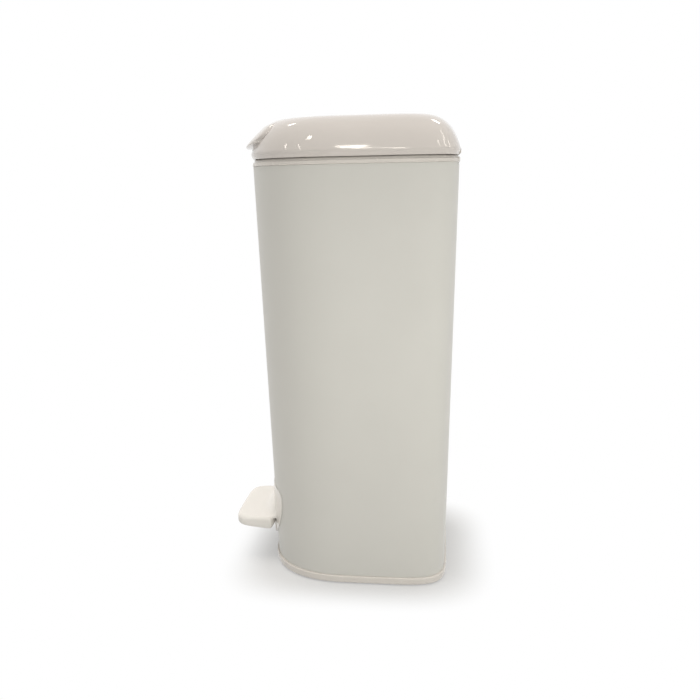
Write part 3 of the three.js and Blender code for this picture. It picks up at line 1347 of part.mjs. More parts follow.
const stand = group(
  piece('body_shell', makeBody(), 'body'),
  piece('base_plate', makeBase(), 'bead'),
  piece('inner_floor', makeInnerFloor(), 'inner'),
  copies('foot', makeFoot, 'rubber', footPlaces.map(([x, y]) => [x, y, 0])),
  copies('base_screw', () => makeScrew(baseScrewGrip), 'steel',
    screwPlaces.map(([x, y]) => [x, y, baseBottom])),
  piece('pedal_pin', makePedalPin(), 'steel'),
  piece('rod_guide_lower', makeGuide(GUIDE_LOW), 'inner'),
  piece('rod_guide_upper', makeGuide(guideHigh), 'inner'),
  piece('rod_cover', makeRodCover(), 'inner'),
  sides.map(([side, word]) => piece(`head_hinge_pin_${word}`, hingePin(
    headHingeY, headHingeZ, HEAD_HINGE_X, HEAD_KNUCKLE, HEAD_LUG, side,
  ), 'steel')),
);

const pedal = group(piece('pedal', makePedal(), 'pad'));

const rod = group(
  piece('lift_rod', makeRod(), 'steel'),
  piece('rod_foot', makeRodFoot(), 'inner'),
  piece('rod_cap', makeRodCap(), 'inner'),
);

const head = group(
  piece('head_frame', makeHead(), 'bead'),
  piece('cassette_tray', makeCassetteTray(), 'cassette'),
  piece('film_pack', makeFilmPack(), 'film'),
  piece('cassette_cover', makeCassetteCover(), 'cassette'),
  piece('film_sleeve', makeFilm(), 'film'),
  sides.map(([side, word]) => piece(`flap_pin_${word}`, makeFlapPin(side), 'steel')),
  piece('cutter_guard', makeCutterGuard(), 'cassette'),
  piece('cutter_blade', makeCutterBlade(), 'steel'),
  sides.map(([side, word]) => piece(`lid_hinge_pin_${word}`, hingePin(
    lidHingeY, lidHingeZ, lidHingeX, LID_KNUCKLE, LID_LUG, side,
  ), 'steel')),
);

const flaps = group(sides.map(([side, word]) => piece(`flap_${word}`, makeFlap(side), 'inner')));

const lid = group(
  piece('lid_shell', makeLidShell(), 'gloss'),
  piece('lid_liner', makeLidLiner(), 'inner'),
  piece('lid_seal', makeSeal(), 'seal'),
  copies('lid_screw', () => makeScrew(SCREW_HEAD_HEIGHT + LINER_THICKNESS), 'steel',
    lidScrewPlaces().map(([x, y]) => [x, y, lidScrewFace])),
);

// The reference line lies between the pad's front edge and the lid's rear edge.
const nappyBin = group(stand, pedal, rod, head, flaps, lid);
nappyBin.position.y = (padFront - lidRear) / 2;

export default nappyBin;
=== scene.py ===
"""A pedal-operated nappy bin in warm white plastic, on a pale studio floor."""

import math

import bmesh
import bpy
from mathutils import Matrix, Quaternion, Vector


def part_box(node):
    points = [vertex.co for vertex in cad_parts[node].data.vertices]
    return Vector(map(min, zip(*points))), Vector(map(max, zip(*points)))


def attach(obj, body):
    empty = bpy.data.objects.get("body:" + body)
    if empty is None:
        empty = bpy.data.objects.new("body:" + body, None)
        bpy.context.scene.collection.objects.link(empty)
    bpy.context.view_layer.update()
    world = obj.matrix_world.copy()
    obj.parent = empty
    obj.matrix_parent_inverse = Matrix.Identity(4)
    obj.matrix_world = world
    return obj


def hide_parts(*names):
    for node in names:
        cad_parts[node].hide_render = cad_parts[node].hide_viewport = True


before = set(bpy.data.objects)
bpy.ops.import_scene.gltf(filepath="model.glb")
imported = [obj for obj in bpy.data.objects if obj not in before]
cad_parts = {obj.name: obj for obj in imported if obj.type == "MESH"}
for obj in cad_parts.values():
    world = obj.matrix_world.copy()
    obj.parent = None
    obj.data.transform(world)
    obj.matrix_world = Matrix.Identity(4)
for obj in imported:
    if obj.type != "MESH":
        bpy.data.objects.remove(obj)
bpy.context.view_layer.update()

# Lengths are in millimetres, as a maker writes them, and become metres in place() or by MM.
MM = 0.001

# The plan of the housing is drawn from a reference line across the bin, which lies this far
# behind the middle of the whole object.
LINE_BEHIND_MIDDLE = 11.5

MERGE_DISTANCE = 1e-6
EDGE_ANGLE_DEG = 32

# Housing, with the sizes of the solids
RIM_LEVEL = 537.0
RIM_HALF_WIDTH = 122.0
RIM_FRONT = 124.0
RIM_REAR = 140.0
BASE_HALF_WIDTH = 110.0
BASE_FRONT = 110.0
BASE_REAR = 126.0
FRONT_POWER = 2.24
BASE_FRONT_POWER = 2.45
REAR_POWER = 6.46
WALL = 2.4
PLAN_COLUMNS = 320
JOIN_OVERLAP = 0.2

# Body
BODY_BOTTOM = 11.3
BODY_LEVELS = (120.0, 330.0)
BODY_CORE = -2.1
RIM_ROUND = 0.6
SLOT_BLOCK = ((-27.0, -130.0, 28.0), (27.0, -60.0, 70.0))
RELIEF_BLOCK = ((-88.2, 118.0, 534.0), (88.2, 150.0, 546.0))
BOSS_LEVELS = (20.0, 42.0)

# Base
BASE_BOTTOM = 1.2
STRIP_TOP = 11.0
STRIP_PROUD = 2.5
STRIP_ROUND = 1.6
STRIP_FOOT_ROUND = 2.4
STRIP_FOOT_STEPS = 8
# This top, the deck's underside and the neck's top lie a little off the solids' own, so that
# the meshes that are joined share no plane.
BASE_SPIGOT = (-2.7, 23.98)
SPIGOT_EDGE = 0.5
BASE_INSIDE = -4.4
BASE_CORE = -3.6
BASE_CORE_LEVELS = (-5.0, 100.0)

# Head
BEAD_BOTTOM = 537.05
BEAD_TOP = 541.8
DECK_UNDERSIDE = 540.93
BEAD_BAND = 0.35
BEAD_LIP = 0.8
BEAD_LIP_HEIGHT = 1.3
BEAD_LIP_BLEND = 0.3
BEAD_LIP_DEG = (-70, 60)
BEAD_ROUND = 1.3
HEAD_SPIGOT = (-3.5, -5.9, 529.0)
STEP = (-1.7, 544.8)
NECK = (-7.2, -9.0, 552.98)
NECK_ROUND = 0.8
HEAD_CORE = -8.4
HEAD_CORE_LEVELS = (440.0, 560.0)
HINGE_BLOCK = ((-84.8, 124.0, 520.0), (84.8, 150.0, 560.0))

# Lid
LID_EDGE_LEVEL = 545.4
LID_WIDEST = 552.0
LID_OVERHANG = 2.0
LID_TUCK = 2.2
LID_EDGE_ROUND = 0.7
LID_TOP = 594.6
CROWN = 1.0
DOME_TOP = LID_TOP - CROWN
DOME_LEAN = 12.0
DOME_ROUND = 34.0
DOME_POWER = 2.6
BEAK_HALF_WIDTH = 78.0
BEAK_WIDEST = 571.0
BEAK_NARROWING = 0.033
BEAK_SHOULDER = 5.0
BEAK_PROUD = 1.0
BEAK_EDGE_PROUD = 3.5
BEAK_TOP = 590.0
BEAK_BLEND = 6.0
BEAK_SPAN_LIMIT = 0.97
CREASE_DEPTH = 0.8
CREASE_WIDTH = 1.6
LIP_LEVEL = 561.5
LIP_RISE = 6.5
LIP_RISE_FADE = 4.0
LIP_REACH = 8.6
LIP_FLARE = 18.0
LIP_FLARE_POWER = 1.3
LIP_THICKNESS = 2.4
LIP_EDGE_DEG = (-90, 50)
LIP_EDGE_STEPS = 6
LIP_UNDERSIDE_SHARES = (0.15, 0.5, 0.85)
LIP_UNDERSIDE_DIP = 0.3
UNDER_LIP_SHARES = (0.4, 0.8, 1.0)
UNDER_LIP_GAP = 0.4
BEAK_COLUMNS = 160
ROUND_COLUMNS = 360
CREASE_CROWDING = 0.7
INSIDE_RINGS = 12
INSIDE_CROWDING = 1.5
INSIDE_SPAN = 0.999
LID_EDGE_STEPS = 6
TUCK_RINGS = 8
FLARE_RINGS = 18
DOME_RINGS = 36
CROWN_RINGS = 13
LID_HINGE = (138.4, 549.0)
LID_HINGE_X = 60.0
LID_KNUCKLE = 15.0
LID_LUG = 12.0
LUG_GAP = 0.4
KNUCKLE_RADIUS = 3.0

# Pedal
PAD_HALF_WIDTH = 58.0
PAD_DEPTH = 47.0
PAD_WIDEST_Y = -118.0
PAD_BEHIND = 8.0
PAD_POWER = 5.5
PAD_TOP = 64.0
PAD_BOTTOM = 45.6
PAD_SLOPE = 6.4
PAD_EDGE = 4.6
PAD_FOOT_INSET = 5.5
PAD_FOOT_RISE = 9.0
PAD_HOLLOW_WALL = 3.0
PAD_HOLLOW_INSET = 1.5
PAD_COLUMNS = 144
PAD_FOOT_STEPS = 9
PAD_EDGE_STEPS = 8
SHIELD_HALF_WIDTH = 76.0
SHIELD_WIDEST = 95.0
SHIELD_TOP = 112.0
SHIELD_BOTTOM = 25.0
SHIELD_TOP_POWER = 4.4
SHIELD_BOTTOM_POWER = 1.9
SHIELD_GAP = 0.3
SHIELD_EDGE = 0.4
SHIELD_THIN = 1.0
SHIELD_THICK = 4.2
SHIELD_FOOT = 2.6
SHIELD_PILLOW = 2.2
SHIELD_COLUMNS = 200
SHIELD_RINGS = 40
SHIELD_MARGIN = 4.0
SWEEP_RADIUS = 21.0
SWEEP_SUNK = 0.15
SWEEP_COLUMNS = 64
SWEEP_STEPS = 14
SWEEP_END_POWER = 4
SWEEP_END_SHARE = 1 / 9
LEVER_BOTTOM = -10.0
# The lever lies inside two blocks: half width, how far in front of the housing, and top.
LEVER_LIMITS = ((RIM_HALF_WIDTH, 3, 70), (31, 8, 60))
PEDAL_VOXEL = 0.7


# Small helpers

def place(x, y, z):
    """A point given from the reference line in millimetres, in the frame's metres."""
    return Vector((x, y + LINE_BEHIND_MIDDLE, z)) * MM


def lerp(a, b, share):
    return a + (b - a) * share


def clamped(value):
    return min(max(value, 0.0), 1.0)


def smoothstep(value):
    value = clamped(value)
    return value * value * (3 - 2 * value)


def shares(count):
    """Even steps up to 1."""
    return [i / count for i in range(1, count + 1)]


def turns_round(count):
    """Even steps of angle once round."""
    return [i * math.tau / count for i in range(count)]


def bent(value, power):
    """The value raised to a power, keeping its sign."""
    return math.copysign(abs(value) ** power, value)


def linear(hex_colour):
    """An sRGB hex colour as the linear values that shaders take."""
    channels = [int(hex_colour[i:i + 2], 16) / 255 for i in (1, 3, 5)]
    curve = [c / 12.92 if c <= 0.04045 else ((c + 0.055) / 1.055) ** 2.4 for c in channels]
    return (*curve, 1.0)


def add_node(tree, kind, inputs=None, **settings):
    """Adds a node, sets its properties, and fills or links its inputs."""
    made = tree.nodes.new(kind)
    for name, value in settings.items():
        setattr(made, name, value)
    for key, value in (inputs or {}).items():
        if isinstance(value, bpy.types.NodeSocket):
            tree.links.new(value, made.inputs[key])
        else:
            made.inputs[key].default_value = value
    return made


def new_object(name, data):
    made = bpy.data.objects.new(name, data)
    bpy.context.scene.collection.objects.link(made)
    return made


def mesh_object(name, vertices, faces, crease_deg=40.0):
    """A shaded object from vertices in the frame's metres, its faces turned outwards."""
    mesh = bpy.data.meshes.new(name)
    mesh.from_pydata([tuple(v) for v in vertices], [], faces)
    work = bmesh.new()
    work.from_mesh(mesh)
    bmesh.ops.remove_doubles(work, verts=work.verts, dist=MERGE_DISTANCE)
    bmesh.ops.recalc_face_normals(work, faces=work.faces)
    work.to_mesh(mesh)
    work.free()
    made = new_object(name, mesh)
    shade(made, crease_deg)
    return made


def shade(made, crease_deg):
    made.data.shade_smooth()
    made.data.set_sharp_from_angle(angle=math.radians(crease_deg))


def skin(name, rings, joined=False, crease_deg=40.0, capped=True):
    """A skin over rings of points, with a flat cap at each end unless it is left open."""
    count = len(rings[0])
    vertices = [point for ring in rings for point in ring]
    faces = []
    bands = len(rings) if joined else len(rings) - 1
    for band in range(bands):
        low = band * count
        high = (band + 1) % len(rings) * count
        for i in range(count):
            after = (i + 1) % count
            faces.append((low + i, low + after, high + after, high + i))
    if capped and not joined:
        for start in (0, (len(rings) - 1) * count):
            faces.append(tuple(range(start, start + count)))
    return mesh_object(name, vertices, faces, crease_deg)


def finished_mesh(made):
    """The object's mesh with its modifiers worked in, and the modifiers taken off."""
    bpy.context.view_layer.update()
    evaluated = made.evaluated_get(bpy.context.evaluated_depsgraph_get())
    mesh = bpy.data.meshes.new_from_object(evaluated)
    made.modifiers.clear()
    made.data = mesh
    return made


def combine(made, operation, tools):
    """Cuts the tools out of a piece, or adds them to it, and removes the tools."""
    for tool in tools:
        change = made.modifiers.new(operation.lower(), "BOOLEAN")
        change.operation = operation
        change.solver = "EXACT"
        change.object = tool
    finished_mesh(made)
    for tool in tools:
        bpy.data.objects.remove(tool)
    return made


def block(name, low, high):
    """A block between two corners given from the reference line, in millimetres."""
    corners = [
        place(x, y, z)
        for z in (low[2], high[2]) for y in (low[1], high[1]) for x in (low[0], high[0])
    ]
    faces = [(0, 1, 3, 2), (4, 5, 7, 6), (0, 1, 5, 4), (2, 3, 7, 6), (0, 2, 6, 4), (1, 3, 7, 5)]
    return mesh_object(name, corners, faces)


def barrel(name, y, z, radius, from_x, to_x, facets=48, edge=0.4):
    """A round bar along X with softened ends."""
    steps = [
        (from_x, radius - edge), (from_x + edge, radius), (to_x - edge, radius),
        (to_x, radius - edge),
    ]
    rings = []
    for x, size in steps:
        rings.append([
            place(x, y + size * math.cos(t), z + size * math.sin(t)) for t in turns_round(facets)
        ])
    return skin(name, rings)


# The housing's plan

def plan_at(level, outward=0.0):
    """Half width, front, rear and front power of the plan at a level, moved outwards."""
    rise = min(level, RIM_LEVEL) / RIM_LEVEL
    return (
        lerp(BASE_HALF_WIDTH, RIM_HALF_WIDTH, rise) + outward,
        lerp(BASE_FRONT, RIM_FRONT, rise) + outward,
        lerp(BASE_REAR, RIM_REAR, rise) + outward,
        lerp(BASE_FRONT_POWER, FRONT_POWER, rise),
    )


def plan_point(plan, turn, forward=0.0):
    half_width, front, rear, front_power = plan
    across, along = math.cos(turn), math.sin(turn)
    power = 2 / (front_power if along < 0 else REAR_POWER)
    depth = front if along < 0 else rear
    return half_width * bent(across, power), depth * bent(along, power) - forward


def front_face(x, level, outward):
    """Y of the housing's front face at x, moved outwards by a margin."""
    half_width, front, _, power = plan_at(level, outward)
    share = min(abs(x) / half_width, 1.0)
    return -front * (1 - share ** power) ** (1 / power)


def plan_skin(name, profile, joined=False):
    """A skin that follows the plan, from a profile of (outward, level)."""
    rings = []
    for outward, level in profile:
        plan = plan_at(level, outward)
        rings.append([
            place(*plan_point(plan, turn), level) for turn in turns_round(PLAN_COLUMNS)
        ])
    return skin(name, rings, joined)


def rounding(outward, level, radius, from_deg, to_deg, steps=5):
    """Profile points along an arc about a centre."""
    angles = [math.radians(lerp(from_deg, to_deg, i / (steps - 1))) for i in range(steps)]
    return [(outward + radius * math.cos(a), level + radius * math.sin(a)) for a in angles]


# Finishes

def object_place(tree):
    return add_node(tree, "ShaderNodeTexCoord").outputs["Object"]


def new_finish(name):
    finish = bpy.data.materials.new(name)
    finish.use_nodes = True
    finish.node_tree.nodes.clear()
    return finish, finish.node_tree


DRIFT_MM = 60.0
GLOSS_DRIFT = 0.12


def moulded(name, colour, shadow_colour, roughness, ior, grain_mm, grain_depth_mm, coat=0.0):
    """Moulded plastic or rubber: an even colour that drifts a little over some centimetres,
    and the pattern of the mould as bump and as a slight change of gloss. On glossy walls the
    pattern is slight waves of some millimetres. The grain of matt ones, about a tenth of a
    millimetre wide, is too fine to show, so it is drawn 0.5 to 1.2 mm wide."""
    finish, tree = new_finish(name)
    where = object_place(tree)
    drift = add_node(tree, "ShaderNodeTexNoise", {
        "Vector": where, "Scale": 1 / (DRIFT_MM * MM), "Detail": 2.0, "Roughness": 0.45,
    })
    tint = add_node(tree, "ShaderNodeMix", {
        "Factor": drift.outputs["Fac"], "A": linear(colour), "B": linear(shadow_colour),
    }, data_type="RGBA")
    grain = add_node(tree, "ShaderNodeTexNoise", {
        "Vector": where, "Scale": 1 / (grain_mm * MM), "Detail": 3.0, "Roughness": 0.6,
    })
    gloss = add_node(tree, "ShaderNodeMapRange", {
        "Value": grain.outputs["Fac"], "From Min": 0.3, "From Max": 0.7,
        "To Min": roughness * (1 - GLOSS_DRIFT), "To Max": roughness * (1 + GLOSS_DRIFT),
    })
    relief = add_node(tree, "ShaderNodeBump", {
        "Height": grain.outputs["Fac"], "Distance": grain_depth_mm * MM, "Strength": 0.6,
    })
    shader = add_node(tree, "ShaderNodeBsdfPrincipled", {
        "Base Color": tint.outputs["Result"], "Roughness": gloss.outputs["Result"],
        "IOR": ior, "Coat Weight": coat, "Coat Roughness": 0.025,
        "Normal": relief.outputs["Normal"],
    })
    add_node(tree, "ShaderNodeOutputMaterial", {"Surface": shader.outputs["BSDF"]})
    return finish


def satin_polypropylene():
    # Polypropylene from a fine spark-eroded mould: a soft, wide highlight with no sharp glints.
    return moulded("satin_polypropylene", "#cecdc8", "#cac9c4", 0.42, 1.49, 0.8, 0.03)


def polished_polypropylene():
    # The same resin from a polished mould, a little warmer. The coat is its glassy skin, which
    # mirrors lamps crisply.
    return moulded("polished_polypropylene", "#cdc7c2", "#c9c3be", 0.07, 1.46, 18.0, 0.002, 0.35)


def ground_polypropylene():
    # The head and the base come from a plain ground mould: between satin and gloss.
    return moulded("ground_polypropylene", "#d6d1cb", "#d2cdc7", 0.25, 1.49, 6.0, 0.004)


def pedal_abs():
    # Whiter and harder ABS for the pedal, with a duller shine than the lid's.
    return moulded("pedal_abs", "#e7e4df", "#e3e0db", 0.24, 1.54, 6.0, 0.004)


def inner_polypropylene():
    # Natural polypropylene of the inner parts, matt from an unpolished mould.
    return moulded("inner_polypropylene", "#dedcd7", "#d8d6d0", 0.5, 1.49, 1.2, 0.04)


def cassette_polystyrene():
    # Thin-walled blue-tinted polystyrene of the refill, slightly glossy.
    return moulded("cassette_polystyrene", "#b9cfd8", "#b3cad4", 0.3, 1.59, 2.0, 0.01)


def seal_rubber():
    # Grey extruded EPDM, matt, with a faint bloom.
    return moulded("seal_epdm", "#8c8f93", "#85888c", 0.75, 1.52, 0.6, 0.03)


def foot_rubber():
    # Black moulded natural rubber, matt and dusty.
    return moulded("foot_rubber", "#3b3b3d", "#444446", 0.85, 1.52, 0.5, 0.05)


def film_polyethylene():
    """Blown polyethylene film: milky and bluish, with fine creases, and some light passes
    through it."""
    finish, tree = new_finish("film_polyethylene")
    where = object_place(tree)
    creases = add_node(tree, "ShaderNodeTexNoise", {
        "Vector": where, "Scale": 1 / (9 * MM), "Detail": 5.0, "Roughness": 0.6,
        "Distortion": 0.8,
    })
    tint = add_node(tree, "ShaderNodeMix", {
        "Factor": creases.outputs["Fac"], "A": linear("#dcebf0"), "B": linear("#c4dbe4"),
    }, data_type="RGBA")
    relief = add_node(tree, "ShaderNodeBump", {
        "Height": creases.outputs["Fac"], "Distance": 0.8 * MM, "Strength": 0.7,
    })
    shader = add_node(tree, "ShaderNodeBsdfPrincipled", {
        "Base Color": tint.outputs["Result"], "Roughness": 0.28, "IOR": 1.51,
        "Transmission Weight": 0.3, "Normal": relief.outputs["Normal"],
    })
    add_node(tree, "ShaderNodeOutputMaterial", {"Surface": shader.outputs["BSDF"]})
    return finish


def drawn_steel():
    """Bright drawn steel of pins, screws and the rod. Its gloss changes over 0.7 mm, wider than
    real marks of drawing, so that they show."""
    finish, tree = new_finish("drawn_steel")
    where = object_place(tree)
    mottle = add_node(tree, "ShaderNodeTexNoise", {
        "Vector": where, "Scale": 1 / (0.7 * MM), "Detail": 2.0, "Roughness": 0.5,
    })
    gloss = add_node(tree, "ShaderNodeMapRange", {
        "Value": mottle.outputs["Fac"], "From Min": 0.3, "From Max": 0.7,
        "To Min": 0.24, "To Max": 0.38,
    })
    shader = add_node(tree, "ShaderNodeBsdfPrincipled", {
        "Base Color": linear("#bfc1c3"), "Metallic": 1.0, "Roughness": gloss.outputs["Result"],
    })
    add_node(tree, "ShaderNodeOutputMaterial", {"Surface": shader.outputs["BSDF"]})
    return finish


def dress(made, finish):
    made.data.materials.clear()
    made.data.materials.append(finish)
    return made


# Solids carried over from the frame

def geometry_tree(name):
    """An empty node tree that takes in geometry and gives it out."""
    tree = bpy.data.node_groups.new(name, "GeometryNodeTree")
    for way in ("INPUT", "OUTPUT"):
        tree.interface.new_socket("Geometry", in_out=way, socket_type="NodeSocketGeometry")
    return tree


def soft_shading_tree():
    """Joins a solid's loose triangles and shades it smooth up to its real edges."""
    tree = geometry_tree("soft_shading")
    angle = tree.interface.new_socket("Edge angle", in_out="INPUT", socket_type="NodeSocketFloat")
    angle.default_value = math.radians(EDGE_ANGLE_DEG)
    given = add_node(tree, "NodeGroupInput")
    joined = add_node(tree, "GeometryNodeMergeByDistance", {
        "Geometry": given.outputs["Geometry"], "Distance": 0.004 * MM,
    })
    smooth = add_node(tree, "GeometryNodeSetShadeSmooth", {
        "Geometry": joined.outputs["Geometry"], "Shade Smooth": True,
    }, domain="FACE")
    edge = add_node(tree, "GeometryNodeInputMeshEdgeAngle")
    real_edge = add_node(tree, "FunctionNodeCompare", {
        "A": edge.outputs["Unsigned Angle"], "B": given.outputs["Edge angle"],
    }, data_type="FLOAT", operation="GREATER_THAN")
    sharp = add_node(tree, "GeometryNodeSetShadeSmooth", {
        "Geometry": smooth.outputs["Geometry"], "Selection": real_edge.outputs["Result"],
        "Shade Smooth": False,
    }, domain="EDGE")
    add_node(tree, "NodeGroupOutput", {"Geometry": sharp.outputs["Geometry"]})
    return tree


def keep_solids(names, finish, shading):
    """CAD nodes that stay as they are get their finish and smooth shading."""
    for name in names:
        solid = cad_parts[name]
        if solid.material_slots:
            for held in solid.material_slots:
                held.material = finish
        else:
            solid.data.materials.append(finish)
        solid.modifiers.new("soft_shading", "NODES").node_group = shading


def frame_solid(node, name):
    """A copy of one of the frame's own solids, its loose triangles joined."""
    work = bmesh.new()
    work.from_mesh(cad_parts[node].data)
    bmesh.ops.remove_doubles(work, verts=work.verts, dist=MERGE_DISTANCE)
    mesh = bpy.data.meshes.new(name)
    work.to_mesh(mesh)
    work.free()
    return new_object(name, mesh)


def finish_piece(
    made, node, body, finish, crease_deg=EDGE_ANGLE_DEG, flat_faces=False,
):
    """Shades and finishes a piece and puts it in its node's place. With flat_faces its large
    flat faces keep an even shade beside the rounded ones."""
    shade(made, crease_deg)
    if flat_faces:
        made.modifiers.new("flat_faces", "WEIGHTED_NORMAL").keep_sharp = True
        finished_mesh(made)
    dress(made, finish)
    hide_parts(node)
    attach(made, body)
    return made


def refine(fresh, node, core, kept):
    """Joins a freshly drawn round outside with the frame's solid: its core, which lies
    inside the given skin, and the blocks that are kept as they are."""
    if kept:
        combine(fresh, "DIFFERENCE", [block("room", *corners) for corners in kept])
    within = frame_solid(node, "core")
    combine(within, "INTERSECT", [core])
    parts = [within]
    for low, high in kept:
        part = frame_solid(node, "kept")
        combine(part, "INTERSECT", [block(
            "more", [v - JOIN_OVERLAP for v in low], [v + JOIN_OVERLAP for v in high],
        )])
        parts.append(part)
    combine(fresh, "UNION", parts)
    return fresh


# Screws and film

SCREW_HEAD_RADIUS = 3.8
SCREW_HEAD_HEIGHT = 2.1
SCREW_ROOT_RADIUS = 1.4
SCREW_THREAD_RADIUS = 1.8
SCREW_PITCH = 0.9
SCREW_POINT = 1.8
SCREW_STEP = 0.225
# The cross in the head: width, width of its slots, and depth.
SCREW_CROSS = (4.4, 0.9, 1.3)
SCREW_FACE_SHARE = 0.66
SCREW_TIP_SHARE = 0.1
SCREW_COLUMNS = 20
FILM_AXIS_Y = -3.0
FILM_PITCH = 1.2
PACK_INSIDE = 67.2
PACK_OUTSIDE = 88.2
PACK_BOTTOM = 522.4
PACK_TOP = 539.8
PACK_ROOM = 0.6
PACK_COLUMNS = 180
PLEAT_COLUMNS = 14
PLEAT_SHARE = 0.42
PLEAT_SEAT = 0.8
CRUMPLE = 0.9
CRUMPLE_SPREAD = 11.0
FILM_THICKNESS = 0.3
SLEEVE_COLUMNS = 268
SLEEVE_STEPS = 5
# Level, half width, half depth and fold depth of the sleeve, from its tail up through the
# slit and the funnel and over the tray's wall.
SLEEVE_STATIONS = (
    (448.4, 3.2, 49.0, 2.4), (460.0, 2.2, 50.0, 2.2), (475.0, 1.8, 49.6, 1.8),
    (492.0, 0.8, 49.8, 0.6), (504.0, 0.4, 50.0, 0.15), (514.0, 0.45, 50.0, 0.15),
    (516.0, 5.0, 50.8, 0.7), (519.0, 12.5, 52.0, 1.2), (523.0, 21.0, 53.8, 1.5),
    (530.0, 37.0, 57.0, 1.5), (537.0, 53.0, 60.0, 1.2), (541.5, 61.4, 61.4, 0.7),
    (544.0, 63.6, 63.6, 0.35), (545.6, 64.5, 64.5, 0.2), (546.0, 65.4, 65.4, 0.15),
    (545.4, 66.5, 66.5, 0.15), (543.0, 66.8, 66.8, 0.2), (540.6, 66.8, 66.8, 0.2),
)
# Each set of folds has its count, the turn it starts from and its share of the depth.
SLEEVE_FOLDS = ((23, 0.4, 0.5), (41, 1.9, 0.3), (67, 4.1, 0.2))
FOLD_ALONG_SLIT = 0.5
FOLD_WANDER = 0.02
FOLD_WANDER_LEVEL = 500.0
FOLD_WANDER_COUNT = 60.0
SOCKET_KINDS = {float: "NodeSocketFloat", int: "NodeSocketInt"}


def named_input(tree, name, value):
    """Adds an input to a tree and returns what sets it: its identifier and its value."""
    kind = SOCKET_KINDS.get(type(value), "NodeSocketMaterial")
    made = tree.interface.new_socket(name, in_out="INPUT", socket_type=kind)
    return made.identifier, value


def grown(made, tree, settings):
    """The mesh that a tree grows on an object, with the tree's inputs set."""
    grower = made.modifiers.new(tree.name, "NODES")
    grower.node_group = tree
    for identifier, value in settings:
        grower[identifier] = value
    return finished_mesh(made)


def screw_tree(length, finish):
    """Pan-head screws that point up, one at each given place: each is turned round a line
    whose radius follows its height, and a cross is sunk in its head."""
    tree = geometry_tree("cross_head_screws")
    wide, thin, deep = SCREW_CROSS
    settings = [named_input(tree, *pair) for pair in (
        ("Length", length * MM), ("Step", SCREW_STEP * MM),
        ("Stations", int(length / SCREW_STEP) + 1), ("Cross width", wide * MM),
        ("Cross slot", thin * MM), ("Cross height", 2 * deep * MM),
        ("Head radius", SCREW_HEAD_RADIUS * MM), ("Head height", SCREW_HEAD_HEIGHT * MM),
        ("Root radius", SCREW_ROOT_RADIUS * MM), ("Thread radius", SCREW_THREAD_RADIUS * MM),
        ("Half pitch", SCREW_PITCH / 2 * MM), ("Point", SCREW_POINT * MM), ("Finish", finish),
    )]
    size = add_node(tree, "NodeGroupInput").outputs
    rise = add_node(tree, "ShaderNodeCombineXYZ", {"Z": size["Step"]})
    line = add_node(tree, "GeometryNodeMeshLine", {
        "Count": size["Stations"], "Offset": rise.outputs["Vector"],
    }, mode="OFFSET")
    axis = add_node(tree, "GeometryNodeMeshToCurve", {"Mesh": line.outputs["Mesh"]})
    place_on_axis = add_node(tree, "GeometryNodeInputPosition")
    height = add_node(tree, "ShaderNodeSeparateXYZ", {
        "Vector": place_on_axis.outputs["Position"],
    }).outputs["Z"]
    dome = add_node(tree, "ShaderNodeMapRange", {
        "Value": height, "From Max": size["Head height"], "To Min": SCREW_FACE_SHARE, "To Max": 1.0,
    }, interpolation_type="SMOOTHSTEP")
    head = add_node(tree, "ShaderNodeMath", {
        0: dome.outputs["Result"], 1: size["Head radius"],
    }, operation="MULTIPLY")
    ridge = add_node(tree, "ShaderNodeMath", {
        0: height, 1: size["Half pitch"],
    }, operation="PINGPONG")
    thread = add_node(tree, "ShaderNodeMapRange", {
        "Value": ridge.outputs["Value"], "From Max": size["Half pitch"],
        "To Min": size["Root radius"], "To Max": size["Thread radius"],
    })
    left = add_node(tree, "ShaderNodeMath", {0: size["Length"], 1: height}, operation="SUBTRACT")
    point = add_node(tree, "ShaderNodeMapRange", {
        "Value": left.outputs["Value"], "From Max": size["Point"], "To Min": SCREW_TIP_SHARE,
        "To Max": 1.0,
    })
    shank = add_node(tree, "ShaderNodeMath", {
        0: thread.outputs["Result"], 1: point.outputs["Result"],
    }, operation="MULTIPLY")
    in_head = add_node(tree, "FunctionNodeCompare", {
        "A": height, "B": size["Head height"],
    }, data_type="FLOAT", operation="LESS_THAN")
    radius = add_node(tree, "GeometryNodeSwitch", {
        "Switch": in_head.outputs["Result"], "False": shank.outputs["Value"],
        "True": head.outputs["Value"],
    }, input_type="FLOAT")
    round_section = add_node(tree, "GeometryNodeCurvePrimitiveCircle", {
        "Resolution": SCREW_COLUMNS, "Radius": 1.0,
    })
    turned = add_node(tree, "GeometryNodeCurveToMesh", {
        "Curve": axis.outputs["Curve"], "Profile Curve": round_section.outputs["Curve"],
        "Scale": radius.outputs["Output"], "Fill Caps": True,
    })
    cross = add_node(tree, "GeometryNodeMeshBoolean", operation="UNION", solver="EXACT")
    for across, along in (("Cross width", "Cross slot"), ("Cross slot", "Cross width")):
        sides = add_node(tree, "ShaderNodeCombineXYZ", {
            "X": size[across], "Y": size[along], "Z": size["Cross height"],
        })
        bar = add_node(tree, "GeometryNodeMeshCube", {"Size": sides.outputs["Vector"]})
        tree.links.new(bar.outputs["Mesh"], cross.inputs["Mesh 2"])
    sunk = add_node(tree, "GeometryNodeMeshBoolean", {
        "Mesh 1": turned.outputs["Mesh"], "Mesh 2": cross.outputs["Mesh"],
    }, operation="DIFFERENCE", solver="EXACT")
    set_out = add_node(tree, "GeometryNodeInstanceOnPoints", {
        "Points": size["Geometry"], "Instance": sunk.outputs["Mesh"],
    })
    real = add_node(tree, "GeometryNodeRealizeInstances", {
        "Geometry": set_out.outputs["Instances"],
    })
    finished = add_node(tree, "GeometryNodeSetMaterial", {
        "Geometry": real.outputs["Geometry"], "Material": size["Finish"],
    })
    add_node(tree, "NodeGroupOutput", {"Geometry": finished.outputs["Geometry"]})
    return tree, settings


